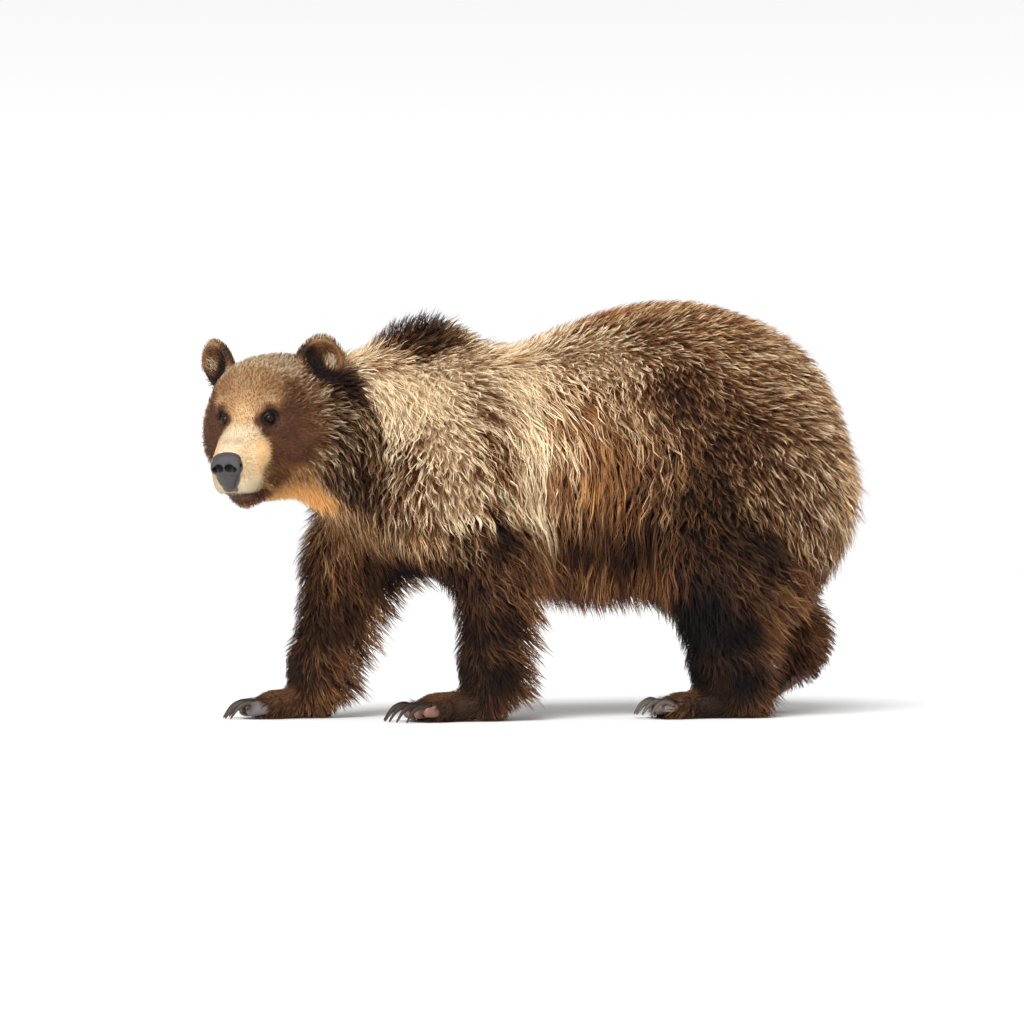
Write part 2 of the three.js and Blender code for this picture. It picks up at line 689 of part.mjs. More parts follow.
// Torso, neck and tail
const onTorso = ({ x, y, z }, n) => {
  if (n.z > 0.75 && x < -60 && x > -360 && Math.abs(y) < 85) return "hump";
  if (z < 440 && x > -60 && x < 440 && n.z > -0.85 && n.z < -0.1) return "belly";
  if (n.z < -0.72) return null;
  if (n.z > 0.72) return "back";
  return x > 330 ? "rump" : "flank";
};
const tailSolid = solid(netOf(tailShape, evenGrid([780, -60, 480], [930, 60, 720], cell.tail)));
const behindRump = { within: [plane([862, 0, 600], [-1, 0, -0.2])], without: [] };
const roundTail = [
  plane([790, 0, 0], [-1, 0, 0]),
  plane([0, 85, 0], [0, 1, 0]),
  plane([0, -85, 0], [0, -1, 0]),
  plane([0, 0, 715], [0, 0, 1]),
  plane([0, 0, 480], [0, 0, -1]),
];
const onTail = (p, n) => (n.x > -0.1 ? "tail" : null);
const tailLocked = largest(dressed(tailSolid, tailShape, behindRump, onTail, seeds.tail));
const torsoNet = solid(netOf(bear, evenGrid([-640, -420, 190], [980, 420, 1140], cell.torso)));
const besideTail = { within: [collar], without: [...allLegs, roundTail] };
const torso = dressedPart(torsoNet, regions.torso, onTorso, seeds.torso, besideTail);
addNode("torso", torso.subtract(grown(tailLocked)), colours.coat);
addNode("tail", tailLocked, colours.dark);
const neckNet = solid(netOf(bear, evenGrid([-700, -330, 400], [-250, 300, 1000], cell.neck)));
const onNeck = (p, n) => (n.z < -0.7 ? null : "neck");
addNode("neck", dressedPart(neckNet, regions.neck, onNeck, seeds.neck), colours.coat);

// Head: its pieces are shaped in its own frame, then set in place.
const placed = (geometry) => solid(geometry.applyMatrix4(headMatrix));
const egg = ({ at, size, yaw = 0, tilt = 0 }, across = 12, along = 8) =>
  new THREE.SphereGeometry(1, across, along)
    .rotateZ(-Math.PI / 2)
    .scale(...size)
    .rotateX(rad(-tilt))
    .rotateZ(rad(yaw))
    .translate(...at);
const mirrored = (at, side) => [at[0], at[1] * side, at[2]];
const ahead = ([x, y, z], yaw, by) => [x + by * Math.cos(rad(yaw)), y + by * Math.sin(rad(yaw)), z];
function localBear(p) {
  return bear(new THREE.Vector3(...p).applyMatrix4(headMatrix).toArray()) / headPose.scale;
}
const headGrid = [
  gridLines(-230, 300, cell.head, 60, 300, cell.face),
  gridLines(-225, 225, cell.head, -75, 75, cell.face),
  gridLines(-250, 190, cell.head, -130, 100, cell.face),
];
const nose = placed(egg(nosePad, 12, 9));
const headStep = (p) => (p.clone().applyMatrix4(intoHead).x > 45 ? seam.face : seam.backOfHead);
const onHead = (p) => {
  const { x, z } = p.clone().applyMatrix4(intoHead);
  if (x > 60 && x < 190 && z < -112) return "chin";
  return x < -5 && z < 70 ? "ruff" : null;
};
const bareHead = coarser(partOf(placed(netOf(localBear, headGrid)), regions.head), regions.head, headStep);
const lockedHead = partOf(dressed(bareHead, bear, regions.head, onHead, seeds.head), regions.head);
let head = coarser(lockedHead, regions.head, () => seam.headLocks).subtract(grown(nose));

const lipLine = new THREE.Shape(
  [0.5, -0.5].flatMap((edge) => {
    const row = mouth.line.map(([x, z]) => new THREE.Vector2(x, z + edge * mouth.slit));
    return edge > 0 ? row : row.reverse();
  }),
);
const slit = new THREE.ExtrudeGeometry(lipLine, { depth: 160, bevelEnabled: false });
slit.rotateX(Math.PI / 2).translate(0, 80, 0);
head = head.subtract(placed(slit).subtract(placed(egg(mouth.core))));

const eyes = {};
const ears = {};
for (const [tag, side] of [["left", 1], ["right", -1]]) {
  const at = mirrored(eye.at, side);
  const yaw = eye.yaw * side;
  const ball = (size) => egg({ at, size: Array(3).fill(size), yaw }, 12, 7);
  const opening = placed(egg({ at: ahead(at, yaw, eye.radius * 1.1), size: eye.opening, yaw }));
  eyes[tag] = placed(ball(eye.radius));
  head = head.add(placed(ball(eye.radius * eye.lid)).subtract(opening)).subtract(grown(eyes[tag]));

  const pose = { yaw: ear.splay * side, tilt: ear.tilt * side };
  const earAt = mirrored(ear.at, side);
  const shell = placed(egg({ at: earAt, size: ear.size, ...pose }, 12, 8));
  const cup = placed(egg({ at: ahead(earAt, pose.yaw, ear.cupForward), size: ear.cup, ...pose }, 9, 6));
  ears[tag] = shell.subtract(cup);
}
head = largest(head);
addNode("head", head, colours.tan);
const nostrils = [1, -1].map((side) => {
  return placed(egg({ at: mirrored(nostril.at, side), size: nostril.size, yaw: nostril.splay * side }, 6, 5));
});
addNode("nose", nostrils.reduce((kept, hole) => kept.subtract(hole), nose), colours.nose, 0.45);
for (const tag of ["left", "right"]) {
  addNode(`eye_${tag}`, eyes[tag], colours.eye, 0.15);
  addNode(`ear_${tag}`, ears[tag].subtract(grown(head)), colours.dark);
}

// Legs, feet and claws
const onLeg = (p, n) => {
  if (n.z < -0.6) return null;
  return n.x > 0.45 ? "fringe" : "leg";
};
const legWords = { fore: ["upper_arm", "forearm", "forepaw"], hind: ["thigh", "shank", "hindfoot"] };
const roundSection = [[1, 0], [0, 1], [-1, 0], [0, -1]];
for (const [name, { side, joints, foot }] of Object.entries(legs)) {
  const { trunk: trunkCuts, bend, end } = legCuts[name];
  const [row, tag] = name.split("_");
  const [upper, lower, last] = legWords[row];
  const xs = joints.map((j) => j[0]);
  const [lowY, highY] = side < 0 ? [-460, 0] : [0, 460];
  const legGrid = evenGrid([Math.min(...xs) - 260, lowY, 40], [Math.max(...xs) + 300, highY, 800], cell.leg);
  const legNet = solid(netOf(bear, legGrid));
  const upperRegion = { within: [...trunkCuts, other(bend)], without: [] };
  const lowerRegion = { within: [...trunkCuts, bend, other(end)], without: [] };
  addNode(`${upper}_${tag}`, dressedPart(legNet, upperRegion, onLeg, seeds[name]), colours.dark);
  addNode(`${lower}_${tag}`, dressedPart(legNet, lowerRegion, onLeg, seeds[name] + 1), colours.dark);
  const feet = [foot.ball, foot.heel, joints[2]].map((j) => j[0]);
  const toes = foot.ball[0] - foot.toeReach;
  const middle = foot.ball[1] * side;
  const footGrid = [
    gridLines(toes - 40, Math.max(...feet) + 130, cell.foot, toes - 40, foot.ball[0] + 20, cell.toe[0]),
    gridLines(middle - 120, middle + 120, cell.foot, middle - 90, middle + 90, cell.toe[1]),
    gridLines(-30, 310, cell.foot, -30, 50, cell.toe[2]),
  ];
  const footRegion = { within: [end, floor], without: [] };
  const footStep = (p) => (p.x < foot.ball[0] + 10 ? seam.toes : seam.foot);
  const paw = largest(coarser(partOf(solid(netOf(bear, footGrid)), footRegion), footRegion, footStep));
  addNode(`${last}_${tag}`, paw, colours.dark);
  const clear = grown(paw);
  const { length, root: clawRoot, tip: clawTip } = claw[row];
  const up = new THREE.Vector3(0, 0, 1);
  toesOf(foot).forEach(({ tip, forward }, i) => {
    const along = new THREE.Vector3(forward[0], forward[1] * side, 0);
    const knuckle = new THREE.Vector3(tip[0], tip[1] * side, clawRoot);
    const path = [[-14, -3], [length * 0.28, 5], [length * 0.68, -6], [length, clawTip - clawRoot]];
    const spine = path.map(([reach, rise]) => {
      return knuckle.clone().addScaledVector(along, reach).addScaledVector(up, rise);
    });
    const widths = [1, 1, 0.6].map((t) => t * claw.width);
    const heights = [1, 1, 0.6].map((t) => t * claw.height);
    const shape = horn(spine, widths, heights, Array(3).fill(up), roundSection);
    addNode(`claw_${name}_${i + 1}`, solid(shape).subtract(clear), colours.horn, 0.4);
  });
}

// The origin is at the middle of the bounding box, on the floor.
const box = new THREE.Box3().setFromObject(group);
group.position.set(-(box.min.x + box.max.x) / 2, -(box.min.y + box.max.y) / 2, 0);
const bearModel = new THREE.Group();
bearModel.add(group);

export default bearModel;
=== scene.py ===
import math
from concurrent.futures import ThreadPoolExecutor

import bmesh
import bpy
import numpy as np
import openvdb
from mathutils import Matrix, Vector
from mathutils.kdtree import KDTree


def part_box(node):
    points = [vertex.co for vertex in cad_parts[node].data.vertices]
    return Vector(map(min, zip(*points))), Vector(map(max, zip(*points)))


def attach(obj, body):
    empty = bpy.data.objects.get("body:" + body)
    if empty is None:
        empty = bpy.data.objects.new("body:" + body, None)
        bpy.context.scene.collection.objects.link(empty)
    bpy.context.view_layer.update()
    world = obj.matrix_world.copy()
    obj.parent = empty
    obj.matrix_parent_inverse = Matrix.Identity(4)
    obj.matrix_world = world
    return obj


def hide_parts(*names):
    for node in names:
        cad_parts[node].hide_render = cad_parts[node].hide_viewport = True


# A brown bear in mid walk. Shapes are worked out in millimetres in the bear's own axes: it walks towards
# -x, its left side is -y, and +z is up. Only the finished meshes are in metres, in the frame's place.
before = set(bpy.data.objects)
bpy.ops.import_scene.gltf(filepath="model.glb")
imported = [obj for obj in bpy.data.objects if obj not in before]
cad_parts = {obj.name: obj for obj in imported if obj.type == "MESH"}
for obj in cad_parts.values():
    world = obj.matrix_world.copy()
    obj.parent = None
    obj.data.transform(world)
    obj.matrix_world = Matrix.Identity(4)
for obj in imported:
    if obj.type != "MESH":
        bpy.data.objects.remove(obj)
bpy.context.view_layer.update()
dice = np.random.default_rng(11)

# The body has the sizes of the solids, but for front: by that much the toes reach further here.
trunk = {
    "chest": {"at": (-225, 0, 590), "size": (205, 200, 225)},
    "hump": {"at": (-210, 0, 795), "size": (155, 92, 150)},
    "barrel": {"at": (60, 0, 620), "size": (420, 258, 275)},
    "belly": {"at": (215, 0, 550), "size": (340, 228, 150)},
    "rump": {"at": (405, 0, 668), "size": (435, 278, 338)},
    "shoulder": {"at": (-195, 148, 590), "size": (130, 98, 225), "pitch": -8},
    "haunch": {"at": (520, 148, 500), "size": (215, 120, 250), "pitch": 12},
    "buttock": {"at": (655, 118, 520), "size": (170, 125, 215), "pitch": -6},
}
neck = {"root": (-250, 0, 680), "tip": (-555, -68, 712), "rootRadius": 205, "tipRadius": 146}
throat = {"root": (-290, 0, 578), "tip": (-535, -68, 678), "rootRadius": 205 * 0.75, "tipRadius": 146 * 0.8}
tail = {"root": (835, 0, 640), "tip": (872, 0, 548), "rootRadius": 36, "tipRadius": 26}
legs = {
    "fore_left": {
        "side": -1,
        "joints": ((-215, 150, 560), (-95, 158, 385), (-98, 152, 110)),
        "radii": (122, 98, 70),
        "foot": {"ball": (-232, 152, 36), "heel": (-118, 152, 46), "turn": -6, "halfWidth": 60, "front": 12},
    },
    "fore_right": {
        "side": 1,
        "joints": ((-285, 152, 560), (-360, 160, 390), (-440, 154, 110)),
        "radii": (122, 104, 70),
        "foot": {"ball": (-552, 142, 36), "heel": (-462, 156, 46), "turn": -14, "halfWidth": 60, "front": 20},
    },
    "hind_left": {
        "side": -1,
        "joints": ((560, 150, 590), (462, 172, 365), (505, 165, 105)),
        "radii": (165, 126, 84),
        "foot": {"ball": (374, 168, 34), "heel": (553, 165, 44), "turn": 3, "halfWidth": 55, "front": 12},
    },
    "hind_right": {
        "side": 1,
        "joints": ((620, 150, 590), (645, 165, 390), (800, 152, 188)),
        "radii": (165, 120, 72),
        "foot": {"ball": (682, 150, 36), "heel": (820, 152, 140), "turn": -4, "halfWidth": 55, "front": 10},
    },
}
# Shares of a leg's radii and of its foot's half width, and how many times flatter the instep is.
legForm = {"knee": 0.94, "ankle": 0.7, "heel": 0.74, "ball": 0.8, "instep": 1.45}
toe = {
    "count": 5,
    "reach": 58,
    "shorter": 0.24,  # how much the outer ones are
    "splay": 9,
    "spread": 0.8,
    "fan": 6,
    "heights": (34, 27),
    "radii": (17, 14),
    "tall": 1.7,
}
claw = {
    "fore": {"length": 68, "root": 38, "tip": 3},
    "hind": {"length": 54, "root": 42, "tip": 12},
    "halfWidth": 6.3,
    "halfHeight": 10,
}
# How wide the parts run into one another.
bodyBlend = {"trunk": 80, "body": 70, "neck": 60, "head": 55, "leg": 46, "foot": 30, "tail": 30, "sole": 10}
toeBlend = 3

# The head in its own axes: x forward from the middle of the skull, y to the bear's left, z up.
headPose = {"at": (-641, -106, 702), "yaw": 55, "pitch": 13.5, "roll": 1, "scale": 1.14}
skull = {
    "cranium": {"at": (-8, 0, 34), "size": (118, 112, 106)},
    "forehead": {"at": (52, 0, 62), "size": (60, 76, 52)},
    "cheek": {"at": (2, 72, -26), "size": (86, 56, 78)},
    "jowl": {"at": (-50, 82, -38), "size": (78, 56, 88)},
    "throat": {"at": (-40, 0, -82), "size": (110, 84, 62)},
}
muzzle = {"root": (60, 0, -8), "tip": (206, 0, -42), "rootRadius": 70, "tipRadius": 45}
lowerJaw = {"root": (10, 0, -96), "tip": (170, 0, -106), "rootRadius": 52, "tipRadius": 28}
lips = {"at": (190, 18, -74), "size": (46, 29, 32)}
brow = {"at": (78, 44, 52), "size": (34, 26, 13)}
eye = {
    "at": (102, 46.5, 33),
    "radius": 10.5,
    "yaw": 36,
    "socket": 16,
    "socketOff": (8, 9, 0),
    "lid": 13.8,
    "opening": (11, 10.4, 7.6),
    "openingAhead": 1.1,
}
ear = {
    "at": (-50, 112, 116),
    "size": (22, 52, 55),
    "splay": 34,
    "tilt": 14,
    "cup": (22, 41, 44),
    "cupAhead": 16,
}
mouth = {"line": ((262, -92), (205, -102), (165, -104), (132, -98), (106, -84)), "radius": 2.2}
mouthCore = {"at": (148, 0, -96), "size": (80, 33, 40)}
headBlend = {"skull": 38, "lips": 16, "socket": 12, "ear": 12, "lid": 7, "cup": 6, "mouth": 5, "opening": 3}


def turned(yaw=0, pitch=0, tilt=0):
    turn = (
        Matrix.Rotation(math.radians(yaw), 3, "Z")
        @ Matrix.Rotation(math.radians(-pitch), 3, "Y")
        @ Matrix.Rotation(math.radians(-tilt), 3, "X")
    )
    return np.array(turn)


# Distance functions: each takes points as rows, and is negative inside.
def ellipsoid(at, size, **angles):
    turn = turned(**angles) if angles else None

    def distance(p):
        q = p - at
        if turn is not None:
            q = q @ turn
        far = np.sqrt(((q / size) ** 2).sum(1)) + 1e-6
        slope = np.sqrt(((q / np.square(size)) ** 2).sum(1)) + 1e-9
        return far * (far - 1) / slope

    return distance


def limb(root, tip, rootRadius, tipRadius):
    root, tip = np.array(root, float), np.array(tip, float)
    axis = tip - root

    def distance(p):
        share = np.clip((p - root) @ axis / (axis @ axis), 0, 1)
        off = p - root - share[:, None] * axis
        return np.sqrt((off * off).sum(1)) - rootRadius - (tipRadius - rootRadius) * share

    return distance


def blend(width, *shapes):
    def distance(p):
        d = shapes[0](p)
        for shape in shapes[1:]:
            e = shape(p)
            h = np.maximum(width - np.abs(d - e), 0) / width
            d = np.minimum(d, e) - h * h * width / 4
        return d

    return distance


def carve(width, base, cut):
    joined = blend(width, lambda p: -base(p), cut)
    return lambda p: -joined(p)


def folded(p):
    return np.stack([p[:, 0], np.abs(p[:, 1]), p[:, 2]], 1)


def paired(shape):
    return lambda p: shape(folded(p))


def onSide(side, shape):
    return lambda p: shape(p * (1, side, 1))


def slopeOf(shape, p, step=0.6):
    corners = np.array(((1, 1, 1), (1, -1, -1), (-1, 1, -1), (-1, -1, 1)), float)
    return sum(corner * shape(p + step * corner)[:, None] for corner in corners) / (4 * step)


def unit(v):
    return v / np.maximum(np.sqrt((v * v).sum(-1, keepdims=True)), 1e-9)


def smooth(value):
    value = np.clip(value, 0, 1)
    return value * value * (3 - 2 * value)


# From 0 outside a part to 1 inside it.
def insideOf(part, p):
    return smooth(0.5 - ellipsoid(part["at"], part["size"])(p) / part["soft"])


# Moves points along the slope to the given height over a shape. Where it is nearly flat, they move less.
def settle(shape, p, height=0.0, steps=3, leastSlope=0.2):
    for _ in range(steps):
        g = slopeOf(shape, p)
        p = p - g * ((shape(p) - height) / np.maximum((g * g).sum(1), leastSlope))[:, None]
    return p


# Long arrays are worked through in parts, side by side.
def inParts(work, *rows, size=12000):
    starts = range(0, len(rows[0]), size)
    with ThreadPoolExecutor(4) as pool:
        parts = list(pool.map(lambda i: work(*(row[i : i + size] for row in rows)), starts))
    if isinstance(parts[0], tuple):
        return tuple(np.concatenate(column) for column in zip(*parts))
    return np.concatenate(parts)


headMatrix = (
    Matrix.Translation(headPose["at"])
    @ Matrix.Rotation(math.radians(180 + headPose["yaw"]), 4, "Z")
    @ Matrix.Rotation(math.radians(headPose["pitch"]), 4, "Y")
    @ Matrix.Rotation(math.radians(headPose["roll"]), 4, "X")
    @ Matrix.Scale(headPose["scale"], 4)
)
headTurn = np.array(headMatrix)[:3, :3]
headUnturn = np.linalg.inv(headTurn)


def fromHead(p):
    return np.asarray(p, float) @ headTurn.T + headPose["at"]


def toHead(p):
    return (p - headPose["at"]) @ headUnturn.T


def inHead(shape):
    return lambda p: headPose["scale"] * shape(toHead(p))


def mirrored(at, side):
    return (at[0], at[1] * side, at[2])


def ahead(at, yaw, by):
    return (at[0] + by * math.cos(math.radians(yaw)), at[1] + by * math.sin(math.radians(yaw)), at[2])


def alongMouth(p, radius):
    line = mouth["line"]
    rows = [limb((a[0], 0, a[1]), (b[0], 0, b[1]), radius, radius) for a, b in zip(line, line[1:])]
    flat = p * (1, 0, 1)
    return np.min([row(flat) for row in rows], axis=0)


def mouthSlit(p):
    return np.maximum(alongMouth(p, mouth["radius"]), -ellipsoid(**mouthCore)(p))


def makeHeadShape():
    mass = blend(
        headBlend["skull"],
        *(ellipsoid(**skull[name]) for name in ("cranium", "forehead", "throat")),
        *(paired(ellipsoid(**skull[name])) for name in ("cheek", "jowl")),
        limb(**muzzle),
        limb(**lowerJaw),
    )
    face = blend(headBlend["lips"], mass, paired(ellipsoid(**lips)), paired(ellipsoid(**brow)))
    middle = np.array(eye["at"]) + eye["socketOff"]
    socket = limb(middle, middle + (0.1, 0, 0), eye["socket"], eye["socket"])
    face = carve(headBlend["socket"], face, paired(socket))
    lid = ellipsoid(eye["at"], (eye["lid"],) * 3)
    openingAt = ahead(eye["at"], eye["yaw"], eye["radius"] * eye["openingAhead"])
    opening = ellipsoid(openingAt, eye["opening"], yaw=eye["yaw"])
    face = carve(headBlend["opening"], blend(headBlend["lid"], face, paired(lid)), paired(opening))
    face = carve(headBlend["mouth"], face, mouthSlit)
    pose = {"yaw": ear["splay"], "tilt": ear["tilt"]}
    shell = ellipsoid(ear["at"], ear["size"], **pose)
    cup = ellipsoid(ahead(ear["at"], ear["splay"], ear["cupAhead"]), ear["cup"], **pose)
    return blend(headBlend["ear"], face, paired(carve(headBlend["cup"], shell, cup)))


# The root, the tip and the way of each toe, from the inner to the outer one, for a foot on the +y side.
def toesOf(foot):
    middle = (toe["count"] - 1) / 2
    turn = math.radians(foot["turn"])
    side = np.array((-math.sin(turn), math.cos(turn)))
    for i in range(toe["count"]):
        across = (i - middle) / middle
        angle = math.pi + turn - math.radians(across * toe["splay"])
        forward = np.array((math.cos(angle), math.sin(angle)))
        reach = toe["reach"] * (1 - toe["shorter"] * across * across)
        root = np.array(foot["ball"][:2]) + side * across * foot["halfWidth"] * toe["spread"]
        tip = root + forward * reach + (0, side[1] * across * toe["fan"])
        yield (*root, toe["heights"][0]), (*tip, toe["heights"][1]), forward


def makeFoot(foot):
    halfWidth = foot["halfWidth"]
    sole = limb(foot["heel"], foot["ball"], halfWidth * legForm["heel"], halfWidth * legForm["ball"])
    low = np.array((1, 1, 1 / toe["tall"]))
    toes = []
    for root, tip, forward in toesOf(foot):
        front = np.array(tip) + (*forward * foot["front"], 0)
        toes.append(limb(root * low, front * low, *toe["radii"]))
    row = blend(toeBlend, *toes)
    shape = blend(bodyBlend["sole"], sole, lambda p: row(p * low))
    ball = foot["ball"][2]

    def flattened(p):
        z = np.where(p[:, 2] < ball, p[:, 2], ball + (p[:, 2] - ball) * legForm["instep"])
        return shape(np.stack([p[:, 0], p[:, 1], z], 1))

    return flattened


def makeLeg(side, joints, radii, foot):
    bones = blend(
        bodyBlend["leg"],
        limb(joints[0], joints[1], radii[0], radii[1]),
        limb(joints[1], joints[2], radii[1] * legForm["knee"], radii[2]),
        limb(joints[2], foot["heel"], radii[2], foot["halfWidth"] * legForm["ankle"]),
    )
    return onSide(side, blend(bodyBlend["foot"], bones, makeFoot(foot)))


headShape = inHead(makeHeadShape())
trunkShape = blend(bodyBlend["trunk"], *(paired(ellipsoid(**part)) for part in trunk.values()))
neckShape = blend(bodyBlend["neck"], limb(**neck), limb(**throat))
bodyShape = blend(bodyBlend["body"], trunkShape, neckShape, *(makeLeg(**leg) for leg in legs.values()))
bear = blend(bodyBlend["tail"], blend(bodyBlend["head"], bodyShape, headShape), limb(**tail))

# The shapes sit in the frame where the left eye of the solids is.
eyeLow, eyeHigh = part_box("eye_left")
shift = np.array((eyeLow + eyeHigh) / 2) - fromHead([eye["at"]])[0] / 1000


def toFrame(p):
    return np.asarray(p) / 1000 + shift


